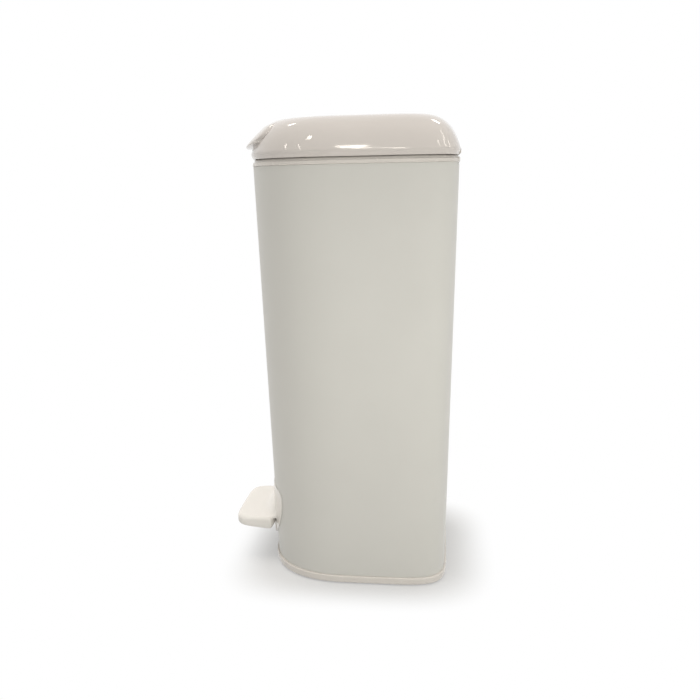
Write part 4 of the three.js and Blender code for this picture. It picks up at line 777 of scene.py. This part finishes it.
def make_screws(kind, body, finish):
    """The four screws of one kind, at the feet of the frame's own ones."""
    names = [f"{kind}_screw_{i}" for i in range(1, 5)]
    boxes = [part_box(name) for name in names]
    feet = [((low[0] + high[0]) / 2, (low[1] + high[1]) / 2, low[2]) for low, high in boxes]
    length = (boxes[0][1][2] - boxes[0][0][2]) / MM
    screws = mesh_object(f"{kind}_screws", feet, [])
    tree, settings = screw_tree(length, finish)
    grown(screws, tree, settings)
    shade(screws, crease_deg=35)
    dress(screws, finish)
    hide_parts(*names)
    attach(screws, body)


def pleat_tree(finish):
    """The film in store: thin pleats of a gathered tube, one on another, each crumpled."""
    tree = geometry_tree("stored_film")
    middle = (PACK_INSIDE + PACK_OUTSIDE) / 2
    half_width = (PACK_OUTSIDE - PACK_INSIDE) / 2 - PACK_ROOM
    settings = [named_input(tree, *pair) for pair in (
        ("Pleats", int((PACK_TOP - PACK_BOTTOM) / FILM_PITCH)), ("Middle radius", middle * MM),
        ("Half width", half_width * MM), ("Half height", FILM_PITCH * PLEAT_SHARE * MM),
        ("Pitch", FILM_PITCH * MM), ("Crumple", CRUMPLE * MM), ("Finish", finish),
    )]
    size = add_node(tree, "NodeGroupInput").outputs
    round_path = add_node(tree, "GeometryNodeCurvePrimitiveCircle", {
        "Resolution": PACK_COLUMNS, "Radius": size["Middle radius"],
    })
    section = add_node(tree, "GeometryNodeCurvePrimitiveCircle", {
        "Resolution": PLEAT_COLUMNS, "Radius": 1.0,
    })
    flatness = add_node(tree, "ShaderNodeCombineXYZ", {
        "X": size["Half width"], "Y": size["Half height"], "Z": 1.0,
    })
    flat = add_node(tree, "GeometryNodeTransform", {
        "Geometry": section.outputs["Curve"], "Scale": flatness.outputs["Vector"],
    })
    pleat = add_node(tree, "GeometryNodeCurveToMesh", {
        "Curve": round_path.outputs["Curve"], "Profile Curve": flat.outputs["Geometry"],
    })
    rise = add_node(tree, "ShaderNodeCombineXYZ", {"Z": size["Pitch"]})
    stack = add_node(tree, "GeometryNodeMeshLine", {
        "Count": size["Pleats"], "Offset": rise.outputs["Vector"],
    }, mode="OFFSET")
    piled = add_node(tree, "GeometryNodeInstanceOnPoints", {
        "Points": stack.outputs["Mesh"], "Instance": pleat.outputs["Mesh"],
    })
    real = add_node(tree, "GeometryNodeRealizeInstances", {
        "Geometry": piled.outputs["Instances"],
    })
    unrest = add_node(tree, "ShaderNodeTexNoise", {
        "Scale": 1 / (CRUMPLE_SPREAD * MM), "Detail": 2.0,
    })
    centred = add_node(tree, "ShaderNodeVectorMath", {
        0: unrest.outputs["Color"], 1: (0.5, 0.5, 0.5),
    }, operation="SUBTRACT")
    shift = add_node(tree, "ShaderNodeVectorMath", {
        0: centred.outputs["Vector"], "Scale": size["Crumple"],
    }, operation="SCALE")
    crumpled = add_node(tree, "GeometryNodeSetPosition", {
        "Geometry": real.outputs["Geometry"], "Offset": shift.outputs["Vector"],
    })
    seat = tuple(place(0.0, FILM_AXIS_Y, PACK_BOTTOM + PLEAT_SEAT))
    seated = add_node(tree, "GeometryNodeTransform", {
        "Geometry": crumpled.outputs["Geometry"], "Translation": seat,
    })
    finished = add_node(tree, "GeometryNodeSetMaterial", {
        "Geometry": seated.outputs["Geometry"], "Material": size["Finish"],
    })
    add_node(tree, "NodeGroupOutput", {"Geometry": finished.outputs["Geometry"]})
    return tree, settings


def make_film_pack(finish):
    pack = mesh_object("gathered_film", [], [])
    tree, settings = pleat_tree(finish)
    grown(pack, tree, settings)
    shade(pack, crease_deg=60)
    dress(pack, finish)
    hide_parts("film_pack")
    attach(pack, "head")


def sleeve_fold(turn, level):
    """Gathers of the film round the sleeve, which wander a little with height."""
    drift = FOLD_WANDER * (level - FOLD_WANDER_LEVEL)
    total = 0.0
    for count, phase, share in SLEEVE_FOLDS:
        wandered = count * turn + phase + drift * (1 + count / FOLD_WANDER_COUNT)
        total += share * (1 - 2 * abs(math.sin(wandered / 2)))
    return total


def smooth_between(before, low, high, after, t):
    """A point on the smooth curve through four stations, t of the way from low to high."""
    return [
        b + t * (c - a) / 2 + t * t * (2 * a - 5 * b + 4 * c - d) / 2
        + t * t * t * (3 * b - 3 * c + d - a) / 2
        for a, b, c, d in zip(before, low, high, after)
    ]


def make_film_sleeve(finish):
    """The film leaves the cassette over the tray's wall, gathers in the funnel to the slit
    between the flaps, and hangs below them as a crumpled tail."""
    rings = []
    stations = [SLEEVE_STATIONS[0], *SLEEVE_STATIONS, SLEEVE_STATIONS[-1]]
    for i in range(len(stations) - 3):
        for step in range(SLEEVE_STEPS):
            level, half_x, half_y, depth = smooth_between(*stations[i:i + 4], step / SLEEVE_STEPS)
            ring = []
            for turn in turns_round(SLEEVE_COLUMNS):
                fold = depth * sleeve_fold(turn, level)
                # The folds stand out less along the slit than across it.
                x = (half_x + fold) * math.cos(turn)
                y = (half_y + fold * FOLD_ALONG_SLIT) * math.sin(turn)
                ring.append(place(x, FILM_AXIS_Y + y, level))
            rings.append(ring)
    sleeve = skin("drawn_film", rings, crease_deg=60, capped=False)
    wall = sleeve.modifiers.new("film", "SOLIDIFY")
    wall.thickness = FILM_THICKNESS * MM
    wall.offset = 0.0
    finished_mesh(sleeve)
    return finish_piece(sleeve, "film_sleeve", "head", finish, crease_deg=60)


# Housing

def make_body(finish):
    edge = RIM_ROUND
    profile = [(0.0, level) for level in (BODY_BOTTOM, *BODY_LEVELS)]
    profile += rounding(-edge, RIM_LEVEL - edge, edge, 0, 90)
    profile += rounding(-WALL + edge, RIM_LEVEL - edge, edge, 90, 180)
    profile += [(-WALL, BODY_BOTTOM)]
    fresh = plan_skin("body_housing", profile, joined=True)
    core = plan_skin("core_limit", [(BODY_CORE, level) for level in BOSS_LEVELS])
    refine(fresh, "body_shell", core, [SLOT_BLOCK, RELIEF_BLOCK])
    return finish_piece(fresh, "body_shell", "bin", finish, flat_faces=True)


def make_base(finish):
    edge = STRIP_ROUND
    side, top = BASE_SPIGOT
    foot = STRIP_FOOT_ROUND
    profile = [(BASE_INSIDE, BASE_BOTTOM)]
    profile += rounding(STRIP_PROUD - foot, BASE_BOTTOM + foot, foot, -90, 0, STRIP_FOOT_STEPS)
    profile += rounding(STRIP_PROUD - edge, STRIP_TOP - edge, edge, 0, 90)
    profile += [(side, STRIP_TOP), (side, top - SPIGOT_EDGE), (side - SPIGOT_EDGE, top)]
    profile += [(BASE_INSIDE, top)]
    fresh = plan_skin("base_with_strip", profile, joined=True)
    core = plan_skin("core_limit", [(BASE_CORE, level) for level in BASE_CORE_LEVELS])
    refine(fresh, "base_plate", core, [])
    return finish_piece(fresh, "base_plate", "bin", finish, flat_faces=True)


def make_head(finish):
    outside, inside, bottom = HEAD_SPIGOT
    neck_out, neck_in, neck_top = NECK
    lip = BEAD_LIP_HEIGHT / 2
    profile = [(outside, bottom), (outside, BEAD_BOTTOM), (BEAD_LIP - lip, BEAD_BOTTOM)]
    profile += rounding(BEAD_LIP - lip, BEAD_BOTTOM + lip, lip, *BEAD_LIP_DEG)
    profile += [(BEAD_BAND, BEAD_BOTTOM + 2 * lip + BEAD_LIP_BLEND)]
    profile += rounding(BEAD_BAND - BEAD_ROUND, BEAD_TOP - BEAD_ROUND, BEAD_ROUND, 0, 90)
    profile += [(STEP[0], BEAD_TOP), STEP, (neck_out, STEP[1])]
    profile += rounding(neck_out - NECK_ROUND, neck_top - NECK_ROUND, NECK_ROUND, 0, 90)
    profile += rounding(neck_in + NECK_ROUND, neck_top - NECK_ROUND, NECK_ROUND, 90, 180)
    profile += [(neck_in, DECK_UNDERSIDE), (inside, DECK_UNDERSIDE), (inside, bottom)]
    fresh = plan_skin("head_with_bead", profile, joined=True)
    core = plan_skin("core_limit", [(HEAD_CORE, level) for level in HEAD_CORE_LEVELS])
    refine(fresh, "head_frame", core, [HINGE_BLOCK])
    return finish_piece(fresh, "head_frame", "head", finish, flat_faces=True)


# Lid

def inset_at_share(share):
    corner = 1 - max(1 - share ** DOME_POWER, 0.0) ** (1 / DOME_POWER)
    return DOME_LEAN * share + DOME_ROUND * corner


def dome_inset(level):
    return inset_at_share(clamped((level - LID_WIDEST) / (DOME_TOP - LID_WIDEST)))


def beak_half_width(level):
    """The beak's side creases draw in above and below their widest level."""
    return BEAK_HALF_WIDTH - BEAK_NARROWING * (level - BEAK_WIDEST) ** 2


def beak_fade(x, half_width):
    """1 across the beak, and a quarter round down to nothing at its crease."""
    share = (abs(x) - half_width + BEAK_SHOULDER) / BEAK_SHOULDER
    if share >= 1:
        return 0.0
    return 1.0 if share <= 0 else math.sqrt(1 - share * share)


def lip_rise(x, half_width):
    """The lip's edge rises towards its ends, and the lift dies away beyond them."""
    share = abs(x) / half_width
    if share <= 1:
        return LIP_RISE * share * share
    return LIP_RISE * smoothstep(1 - (share - 1) * LIP_RISE_FADE)


def beak_reach(x, level, half_width):
    """How far the beak stands out from the dome."""
    if level >= BEAK_TOP:
        return 0.0
    share = min(abs(x) / half_width, 1.0)
    proud = lerp(BEAK_PROUD, BEAK_EDGE_PROUD, share * share)
    above_lip = level - LIP_LEVEL - lip_rise(x, half_width)
    flare = clamped(1 - above_lip / LIP_FLARE)
    lip = LIP_REACH * flare ** LIP_FLARE_POWER * math.sqrt(1 - share * share)
    return proud * smoothstep((BEAK_TOP - level) / BEAK_BLEND) + lip


def crease_groove(x, level, half_width):
    """A shallow groove along the beak's crease."""
    fall = smoothstep((BEAK_TOP - level) / BEAK_BLEND)
    return CREASE_DEPTH * fall * math.exp(-((abs(x) - half_width) / CREASE_WIDTH) ** 2)


def lid_turns(half_width, plan):
    """Turns round the plan, closest together at the beak's two creases."""
    widest = plan[0] * BEAK_SPAN_LIMIT
    crease = math.acos((min(half_width, widest) / plan[0]) ** (FRONT_POWER / 2))
    turns = []
    for start, end, columns in (
        (crease - math.pi, -crease, BEAK_COLUMNS), (-crease, math.pi + crease, ROUND_COLUMNS),
    ):
        for i in range(columns):
            spread = 0.5 - 0.5 * math.cos(math.pi * i / columns)
            turns.append(lerp(start, end, lerp(i / columns, spread, CREASE_CROWDING)))
    return turns


def lid_ring(level, inset, shape_level=LID_TOP):
    """One ring of the lid that the beak leaves alone."""
    plan = plan_at(RIM_LEVEL, LID_OVERHANG - inset)
    return [
        place(*plan_point(plan, turn), level)
        for turn in lid_turns(beak_half_width(shape_level), plan)
    ]


def beak_ring(level, lifted=0.0, stands_out=None, shape_level=None):
    """One ring of the dome with the beak on it. lifted is the share of the lip's rise that
    the ring follows, and stands_out gives the reach, where it isn't the beak's own."""
    half_width = beak_half_width(shape_level or level)
    plan = plan_at(RIM_LEVEL, LID_OVERHANG - dome_inset(level))
    ring = []
    for turn in lid_turns(half_width, plan):
        x, y = plan_point(plan, turn)
        if y > 0:
            ring.append(place(x, y, level))
            continue
        height = level + lifted * lip_rise(x, half_width)
        reach = (stands_out or beak_reach)(x, height, half_width) * beak_fade(x, half_width)
        if stands_out is None:
            reach -= crease_groove(x, height, half_width)
        moved = plan_at(RIM_LEVEL, LID_OVERHANG - dome_inset(height))
        ring.append(place(*plan_point(moved, turn, reach), height))
    return ring


def lid_rings():
    """The lid's skin, from the inside of its crown down, round its edge, up over the lip and
    the beak, and in to the middle of the crown."""
    rings = []
    inside_top = DOME_TOP - WALL
    for done in (0.0, *shares(INSIDE_RINGS)):
        share = 1 - done ** INSIDE_CROWDING * INSIDE_SPAN
        rings.append(lid_ring(lerp(LID_WIDEST, inside_top, share), inset_at_share(share) + WALL))
    rings.append(lid_ring(LID_EDGE_LEVEL + LID_EDGE_ROUND, LID_TUCK + WALL))
    half = WALL / 2 - LID_EDGE_ROUND
    for step in range(LID_EDGE_STEPS + 1):
        angle = math.radians(180 / LID_EDGE_STEPS * step)
        inset = LID_TUCK + WALL / 2 + half * math.cos(angle) + LID_EDGE_ROUND * math.cos(angle)
        level = LID_EDGE_LEVEL + LID_EDGE_ROUND * (1 - math.sin(angle))
        rings.append(lid_ring(level, inset))
    for share in shares(TUCK_RINGS):
        level = lerp(LID_EDGE_LEVEL + LID_EDGE_ROUND, LID_WIDEST, share)
        rings.append(lid_ring(level, LID_TUCK * (1 - share) ** 2))

    lip_bottom = LIP_LEVEL - LIP_THICKNESS
    lip_half = LIP_THICKNESS / 2

    def bare(x, level, half_width):
        return 0.0

    def lip_part(share, drawn_in):
        """Reach of a point under the lip, or on its rounded edge."""
        def reach(x, level, half_width):
            full = beak_reach(x, LIP_LEVEL + lip_rise(x, half_width), half_width)
            return (full - lip_half) * share + lip_half * drawn_in
        return reach

    for share in UNDER_LIP_SHARES:
        level = lerp(LID_WIDEST, lip_bottom - UNDER_LIP_GAP, share)
        rings.append(beak_ring(level, share, bare, LIP_LEVEL))
    for share in LIP_UNDERSIDE_SHARES:
        level = lip_bottom - LIP_UNDERSIDE_DIP * (1 - share)
        rings.append(beak_ring(level, 1.0, lip_part(share, 0.0), LIP_LEVEL))
    for done in (0.0, *shares(LIP_EDGE_STEPS)):
        angle = math.radians(lerp(*LIP_EDGE_DEG, done))
        level = lip_bottom + lip_half * (1 + math.sin(angle))
        rings.append(beak_ring(level, 1.0, lip_part(1.0, math.cos(angle)), LIP_LEVEL))
    for share in shares(FLARE_RINGS):
        rings.append(beak_ring(lerp(LIP_LEVEL, LIP_LEVEL + LIP_FLARE, share), 1 - share))
    dome_from = LIP_LEVEL + LIP_FLARE
    for share in shares(DOME_RINGS):
        rings.append(beak_ring(lerp(dome_from, DOME_TOP, math.sin(share * math.pi / 2))))
    for share in shares(CROWN_RINGS)[:-1]:
        level = LID_TOP - CROWN * (1 - share) ** 2
        rings.append(lid_ring(level, lerp(inset_at_share(1.0), RIM_HALF_WIDTH, share)))
    return rings


def lug_ranges(middle, knuckle, lug):
    """X ranges of the two lugs beside each knuckle, left and right."""
    inner = middle - knuckle / 2 - LUG_GAP
    outer = middle + knuckle / 2 + LUG_GAP
    right = [(inner - lug, inner), (outer, outer + lug)]
    return right + [(-high, -low) for low, high in right]


def make_lid(finish):
    lid = skin("lid_dome", lid_rings(), crease_deg=30)
    y, z = LID_HINGE
    slots = [
        block("lug_slot", (low - LUG_GAP, y - 2 * KNUCKLE_RADIUS, LID_EDGE_LEVEL - WALL),
              (high + LUG_GAP, RIM_REAR + 2 * WALL, z + KNUCKLE_RADIUS + 2 * LUG_GAP))
        for low, high in lug_ranges(LID_HINGE_X, LID_KNUCKLE, LID_LUG)
    ]
    combine(lid, "DIFFERENCE", slots)
    half = LID_KNUCKLE / 2
    knuckles = [
        barrel("knuckle", y, z, KNUCKLE_RADIUS, side * LID_HINGE_X - half, side * LID_HINGE_X + half)
        for side in (-1, 1)
    ]
    combine(lid, "UNION", knuckles)
    return finish_piece(lid, "lid_shell", "lid", finish, crease_deg=30)


# Pedal

def pad_ring(level, inset, lift=0.0):
    """A ring of the pad; lift is how far its front end stands above the level."""
    ring = []
    for turn in turns_round(PAD_COLUMNS):
        across, along = math.cos(turn), math.sin(turn)
        depth = (PAD_DEPTH if along < 0 else PAD_BEHIND) - inset
        x = (PAD_HALF_WIDTH - inset) * bent(across, 2 / PAD_POWER)
        y = PAD_WIDEST_Y + depth * bent(along, 2 / PAD_POWER)
        ring.append(place(x, y, level + lift * clamped((PAD_WIDEST_Y - y) / PAD_DEPTH)))
    return ring


def make_pad():
    ceiling = PAD_TOP - PAD_HOLLOW_WALL
    hollow = PAD_FOOT_INSET + PAD_HOLLOW_INSET
    rings = [pad_ring(ceiling, hollow), pad_ring(PAD_BOTTOM, hollow, PAD_SLOPE)]
    for step in range(PAD_FOOT_STEPS + 1):
        angle = math.radians(90 * step / PAD_FOOT_STEPS)
        level = PAD_BOTTOM + PAD_FOOT_RISE * (1 - math.cos(angle))
        lift = PAD_SLOPE * (1 - step / PAD_FOOT_STEPS)
        rings.append(pad_ring(level, PAD_FOOT_INSET * (1 - math.sin(angle)), lift))
    for step in range(PAD_EDGE_STEPS + 1):
        angle = math.radians(90 * step / PAD_EDGE_STEPS)
        level = PAD_TOP - PAD_EDGE * (1 - math.sin(angle))
        rings.append(pad_ring(level, PAD_EDGE * (1 - math.cos(angle))))
    return skin("pad", rings)


def shield_share(x, level):
    """0 at the shield's middle and 1 on its outline."""
    if level > SHIELD_WIDEST:
        power, reach = SHIELD_TOP_POWER, SHIELD_TOP - SHIELD_WIDEST
    else:
        power, reach = SHIELD_BOTTOM_POWER, SHIELD_WIDEST - SHIELD_BOTTOM
    across = min(abs(x) / SHIELD_HALF_WIDTH, 1.0) ** power
    up = min(abs(level - SHIELD_WIDEST) / reach, 1.0) ** power
    return min((across + up) ** (1 / power), 1.0)


def shield_proud(x, level):
    """How far the shield's front stands out from the housing: a pillow with thin edges."""
    if level < PAD_BOTTOM:
        share = (level - SHIELD_BOTTOM) / (PAD_BOTTOM - SHIELD_BOTTOM)
        thick = lerp(SHIELD_FOOT, SHIELD_THICK, clamped(share))
    else:
        share = (level - PAD_BOTTOM) / (SHIELD_TOP - PAD_BOTTOM)
        thick = lerp(SHIELD_THICK, SHIELD_THIN, min(share, 1.0))
    pillow = 1 - shield_share(x, level) ** SHIELD_PILLOW
    return SHIELD_GAP + SHIELD_EDGE + max(thick - SHIELD_EDGE, 0.0) * pillow


def make_shield():
    """The shield hugs the housing's front: rings out over its face and back behind it."""
    def ring(scale, behind):
        points = []
        for turn in turns_round(SHIELD_COLUMNS):
            across, up = math.cos(turn), math.sin(turn)
            power = 2 / (SHIELD_TOP_POWER if up > 0 else SHIELD_BOTTOM_POWER)
            reach = SHIELD_TOP - SHIELD_WIDEST if up > 0 else SHIELD_WIDEST - SHIELD_BOTTOM
            x = scale * SHIELD_HALF_WIDTH * bent(across, power)
            level = SHIELD_WIDEST + scale * reach * bent(up, power)
            outward = SHIELD_GAP if behind else shield_proud(x, level)
            points.append(place(x, front_face(x, level, outward), level))
        return points
    scales = [
        math.sin(math.pi / 2 * (i + 0.5) / SHIELD_RINGS) for i in range(SHIELD_RINGS)
    ] + [1.0]
    front = [ring(scale, False) for scale in scales]
    back = [ring(scale, True) for scale in reversed(scales)]
    return skin("pedal_moulding", front + back)


def make_sweep():
    """The concave sweep from the pad's top up into the shield."""
    half = PAD_HALF_WIDTH - PAD_EDGE
    bottom = PAD_TOP - PAD_HOLLOW_WALL
    rings = []
    for i in range(SWEEP_COLUMNS + 1):
        x = half * (2 * i / SWEEP_COLUMNS - 1)
        fade = max(1 - abs(x / half) ** SWEEP_END_POWER, SWEEP_END_SHARE)
        reach = SWEEP_RADIUS * math.sqrt(fade)
        arc = []
        for step in range(SWEEP_STEPS + 1):
            angle = math.pi / 2 * step / SWEEP_STEPS
            level = PAD_TOP + reach * (1 - math.cos(angle))
            root = front_face(x, level, shield_proud(x, level) - SWEEP_SUNK)
            y = root - reach * (1 - math.sin(angle))
            arc.append(place(x, y, level))
        foot = Vector((arc[0].x, arc[0].y, bottom * MM))
        heel = place(x, front_face(x, bottom, SHIELD_GAP), bottom)
        rings.append([heel, foot, *arc])
    return skin("sweep", rings)


def pedal_lever():
    """The part of the pedal inside the housing, taken from the frame's own solid."""
    lever = frame_solid("pedal", "lever")
    front = front_face(0.0, PAD_TOP, 0.0)
    for half, ahead, top in LEVER_LIMITS:
        limit = block("limit", (-half, front - ahead, LEVER_BOTTOM), (half, RIM_REAR, top))
        combine(lever, "INTERSECT", [limit])
    return lever


def make_pedal(finish):
    """Pad and sweep melt together with soft edges and grow out of the thin-edged shield."""
    pad = make_pad()
    combine(pad, "UNION", [make_sweep()])
    room = (SHIELD_BOTTOM - SHIELD_MARGIN, SHIELD_TOP + SHIELD_MARGIN)
    combine(pad, "DIFFERENCE", [plan_skin("room", [(SHIELD_GAP, level) for level in room])])
    grid = pad.modifiers.new("even", "REMESH")
    grid.mode = "VOXEL"
    grid.voxel_size = PEDAL_VOXEL * MM
    soften = pad.modifiers.new("soften", "SMOOTH")
    soften.factor = 0.5
    soften.iterations = 6
    finished_mesh(pad)
    moulding = make_shield()
    combine(moulding, "UNION", [pad, pedal_lever()])
    return finish_piece(moulding, "pedal", "pedal_body", finish, crease_deg=50)


# Studio

FLOOR_HALF = 3000.0
# The floor's painted shadow: a rounded oblong round the base's middle, how far out it fades, its
# corner power, and the share of white left at its edge.
SHADOW_HALF_WIDTH = 112.0
SHADOW_HALF_DEPTH = 120.0
SHADOW_MIDDLE = 19.0
SHADOW_REACH = 1.6
SHADOW_POWER = 4.0
SHADOW_WHITE_SHARE = 0.35
AMBIENT_STRENGTH = 0.69
CAMERA_PLACE = (1016.6, 119.0, 520.8)
CAMERA_AIM = (0.0, -4.9, 290.0)
CAMERA_ROLL_DEG = -1.09
CAMERA_LENS = 39.25
SENSOR = 36.0


def make_camera():
    camera = new_object("camera", bpy.data.cameras.new("camera"))
    camera.data.lens = CAMERA_LENS
    camera.data.sensor_width = SENSOR
    camera.data.sensor_fit = "HORIZONTAL"
    camera.location = place(*CAMERA_PLACE)
    aim = (place(*CAMERA_AIM) - camera.location).to_track_quat("-Z", "Y")
    roll = Quaternion((0, 0, 1), math.radians(CAMERA_ROLL_DEG))
    camera.rotation_mode = "QUATERNION"
    camera.rotation_quaternion = aim @ roll
    bpy.context.scene.camera = camera


def ray_kinds(tree):
    """Whether a ray comes from the camera, and whether it comes off gloss or through glass."""
    path = add_node(tree, "ShaderNodeLightPath")
    mirrored = add_node(tree, "ShaderNodeMath", {
        0: path.outputs["Is Glossy Ray"], 1: path.outputs["Is Transmission Ray"],
    }, operation="MAXIMUM")
    return path.outputs["Is Camera Ray"], mirrored.outputs["Value"]


def studio_white(name):
    """Matt white paint that shows as a white ground and as the same white in reflections. Close
    to the object the white fades out: a painted shadow round the base, where the floor's own
    shadow also shows."""
    finish, tree = new_finish(name)
    from_camera, mirrored = ray_kinds(tree)
    # How far out a place is, as a share of a rounded oblong as large as the base.
    centred = add_node(tree, "ShaderNodeMapping", {
        "Vector": object_place(tree), "Location": (0.0, -SHADOW_MIDDLE * MM, 0.0),
    })
    parts = add_node(tree, "ShaderNodeSeparateXYZ", {"Vector": centred.outputs["Vector"]})
    sides = []
    for axis, half in (("X", SHADOW_HALF_WIDTH), ("Y", SHADOW_HALF_DEPTH)):
        share = add_node(tree, "ShaderNodeMath", {
            0: parts.outputs[axis], 1: half * MM,
        }, operation="DIVIDE")
        sides.append(add_node(tree, "ShaderNodeMath", {
            0: share.outputs["Value"], 1: SHADOW_POWER,
        }, operation="POWER"))
    both = add_node(tree, "ShaderNodeMath", {
        0: sides[0].outputs["Value"], 1: sides[1].outputs["Value"],
    }, operation="ADD")
    out = add_node(tree, "ShaderNodeMath", {
        0: both.outputs["Value"], 1: 1 / SHADOW_POWER,
    }, operation="POWER")
    # Painted shadow: the white share falls to SHADOW_WHITE_SHARE at the base's outline, so the floor
    # there is darker even where no shadow falls.
    spread = add_node(tree, "ShaderNodeMapRange", {
        "Value": out.outputs["Value"], "From Min": 1.0, "From Max": SHADOW_REACH,
        "To Min": SHADOW_WHITE_SHARE, "To Max": 1.0,
    }, interpolation_type="SMOOTHSTEP")
    white_share = add_node(tree, "ShaderNodeMath", {
        0: from_camera, 1: spread.outputs["Result"],
    }, operation="MULTIPLY")
    share = add_node(tree, "ShaderNodeMath", {
        0: mirrored, 1: white_share.outputs["Value"],
    }, operation="MAXIMUM")
    matt = add_node(tree, "ShaderNodeBsdfDiffuse", {"Color": linear("#c8c8c8")})
    bright = add_node(tree, "ShaderNodeEmission", {
        "Color": (1.0, 1.0, 1.0, 1.0), "Strength": 1.0,
    })
    mix = add_node(tree, "ShaderNodeMixShader", {
        0: share.outputs["Value"], 1: matt.outputs["BSDF"], 2: bright.outputs["Emission"],
    })
    add_node(tree, "ShaderNodeOutputMaterial", {"Surface": mix.outputs["Shader"]})
    return finish


def make_floor():
    corners = [place(x, y, 0) for x, y in (
        (-FLOOR_HALF, -FLOOR_HALF), (FLOOR_HALF, -FLOOR_HALF),
        (FLOOR_HALF, FLOOR_HALF), (-FLOOR_HALF, FLOOR_HALF),
    )]
    floor = mesh_object("floor", corners, [(0, 1, 2, 3)])
    dress(floor, studio_white("floor_paint"))


def make_world():
    world = bpy.data.worlds.new("studio")
    bpy.context.scene.world = world
    world.use_nodes = True
    tree = world.node_tree
    tree.nodes.clear()
    from_camera, mirrored = ray_kinds(tree)
    ambient = add_node(tree, "ShaderNodeBackground", {
        "Color": linear("#e8e6e1"), "Strength": AMBIENT_STRENGTH,
    })
    white = add_node(tree, "ShaderNodeBackground", {
        "Color": (1.0, 1.0, 1.0, 1.0), "Strength": 1.0,
    })
    seen = add_node(tree, "ShaderNodeMath", {0: mirrored, 1: from_camera}, operation="MAXIMUM")
    mix = add_node(tree, "ShaderNodeMixShader", {
        0: seen.outputs["Value"], 1: ambient.outputs["Background"],
        2: white.outputs["Background"],
    })
    add_node(tree, "ShaderNodeOutputWorld", {"Surface": mix.outputs["Shader"]})


def area_lamp(name, at, towards, size, power, colour, mirrored=False):
    """A soft rectangular lamp. Only a mirrored one shows as a reflection."""
    lamp = bpy.data.lights.new(name, "AREA")
    lamp.shape = "RECTANGLE"
    lamp.size, lamp.size_y = size[0] * MM, size[1] * MM
    lamp.energy = power
    lamp.color = linear(colour)[:3]
    holder = new_object(name, lamp)
    holder.location = place(*at)
    holder.rotation_mode = "QUATERNION"
    holder.rotation_quaternion = (place(*towards) - holder.location).to_track_quat("-Z", "Y")
    holder.visible_camera = False
    holder.visible_glossy = mirrored
    return holder


# The soft lamps. Each has its place, the place that it faces, its two sizes, watts and colour.
LAMPS = (
    ("ceiling_panel", (-50, -300, 4000), (0, -60, 300), (2200, 2200), 88.0, "#fffaf5"),
    ("near_side", (480, 100, 360), (122, 100, 360), (500, 160), 0.3, "#fffef8"),
    ("right_side", (800, 900, 330), (100, 80, 300), (700, 400), 2.5, "#fffef8"),
    ("low_side", (1000, 80, 80), (100, 60, 150), (700, 300), 1.0, "#fffef8"),
    ("front_left_fill", (-700, -900, 900), (0, -100, 200), (900, 900), 3.6, "#fffaf5"),
    ("rear_fill", (-700, 1600, 700), (0, 0, 350), (1400, 1400), 3.0, "#fffdfa"),
)


def make_lamps():
    for lamp in LAMPS:
        area_lamp(*lamp)


# Small panels and window strips of the room, which only show as mirrored glints on the
# polished lid. Each has its place, the place that it faces, the direction of its long or
# level side, its two sizes, and its brightness.
GLINTS = (
    ("front_window", (-937, -1237, 2481), (95, -57, 583), (239, 97, 190), (150, 230), 14.0),
    ("front_lamp", (1295, -1198, 2427), (116, -33, 567), (110, 165, 34), (170, 300), 14.0),
    ("long_window", (2191, -275, 1907), (123, 22, 556), (1, 194, 40), (198, 380), 14.0),
    ("low_window", (2338, 55, 1569), (123, 71, 554), (-61, 233, 137), (160, 520), 9.0),
    ("thin_front", (795, -2082, 1859), (109, -63, 559), (123, 58, 25), (70, 190), 14.0),
    ("thin_low", (1441, -1659, 1929), (117, -45, 557), (52, 50, 9), (50, 220), 12.0),
    ("rear_lamp", (-1194, 907, 2457), (98, 112, 582), (-402, 72, -308), (300, 420), 12.0),
    ("rear_strip_a", (145, 1768, 2400), (109, 119, 567), (-175, 88, -76), (110, 700), 11.0),
    ("rear_strip_b", (1365, 1548, 2164), (116, 115, 557), (-67, 90, -28), (80, 400), 11.0),
    ("rear_strip_c", (637, 1996, 2098), (113, 122, 558), (-138, 72, -41), (90, 480), 10.0),
    ("rear_strip_d", (5, 2249, 1782), (110, 127, 556), (-188, 60, -120), (110, 700), 9.0),
    ("rear_strip_e", (2136, 1047, 1288), (120, 107, 553), (-35, 86, -13), (60, 900), 7.0),
)


def make_glints():
    for name, at, facing, across, size, brightness in GLINTS:
        area = size[0] * size[1] * MM * MM
        holder = area_lamp(name, at, facing, size, math.pi * brightness * area, "#fff6ea", True)
        holder.visible_diffuse = False
        outwards = (place(*at) - place(*facing)).normalized()
        side = Vector(across)
        side = (side - outwards * side.dot(outwards)).normalized()
        turned = Matrix((side, outwards.cross(side), outwards)).transposed()
        holder.rotation_quaternion = turned.to_quaternion()


def main():
    scene = bpy.context.scene
    scene.view_settings.view_transform = "Standard"
    shading = soft_shading_tree()
    satin, gloss = satin_polypropylene(), polished_polypropylene()
    bead, inner, steel = ground_polypropylene(), inner_polypropylene(), drawn_steel()
    refill, film = cassette_polystyrene(), film_polyethylene()
    keep_solids([
        "inner_floor", "rod_guide_lower", "rod_guide_upper", "rod_cover", "rod_foot", "rod_cap",
        "flap_left", "flap_right", "lid_liner",
    ], inner, shading)
    keep_solids(["cassette_tray", "cassette_cover", "cutter_guard"], refill, shading)
    keep_solids([f"foot_{i}" for i in range(1, 5)], foot_rubber(), shading)
    keep_solids(["lid_seal"], seal_rubber(), shading)
    keep_solids(
        [f"{kind}_pin_{side}" for kind in ("head_hinge", "lid_hinge", "flap")
         for side in ("left", "right")] + ["pedal_pin", "lift_rod", "cutter_blade"],
        steel, shading,
    )
    make_screws("base", "bin", steel)
    make_screws("lid", "lid", steel)
    make_film_pack(film)
    make_film_sleeve(film)
    make_body(satin)
    make_base(bead)
    make_head(bead)
    make_lid(gloss)
    make_pedal(pedal_abs())
    make_floor()
    make_world()
    make_lamps()
    make_glints()
    make_camera()


main()
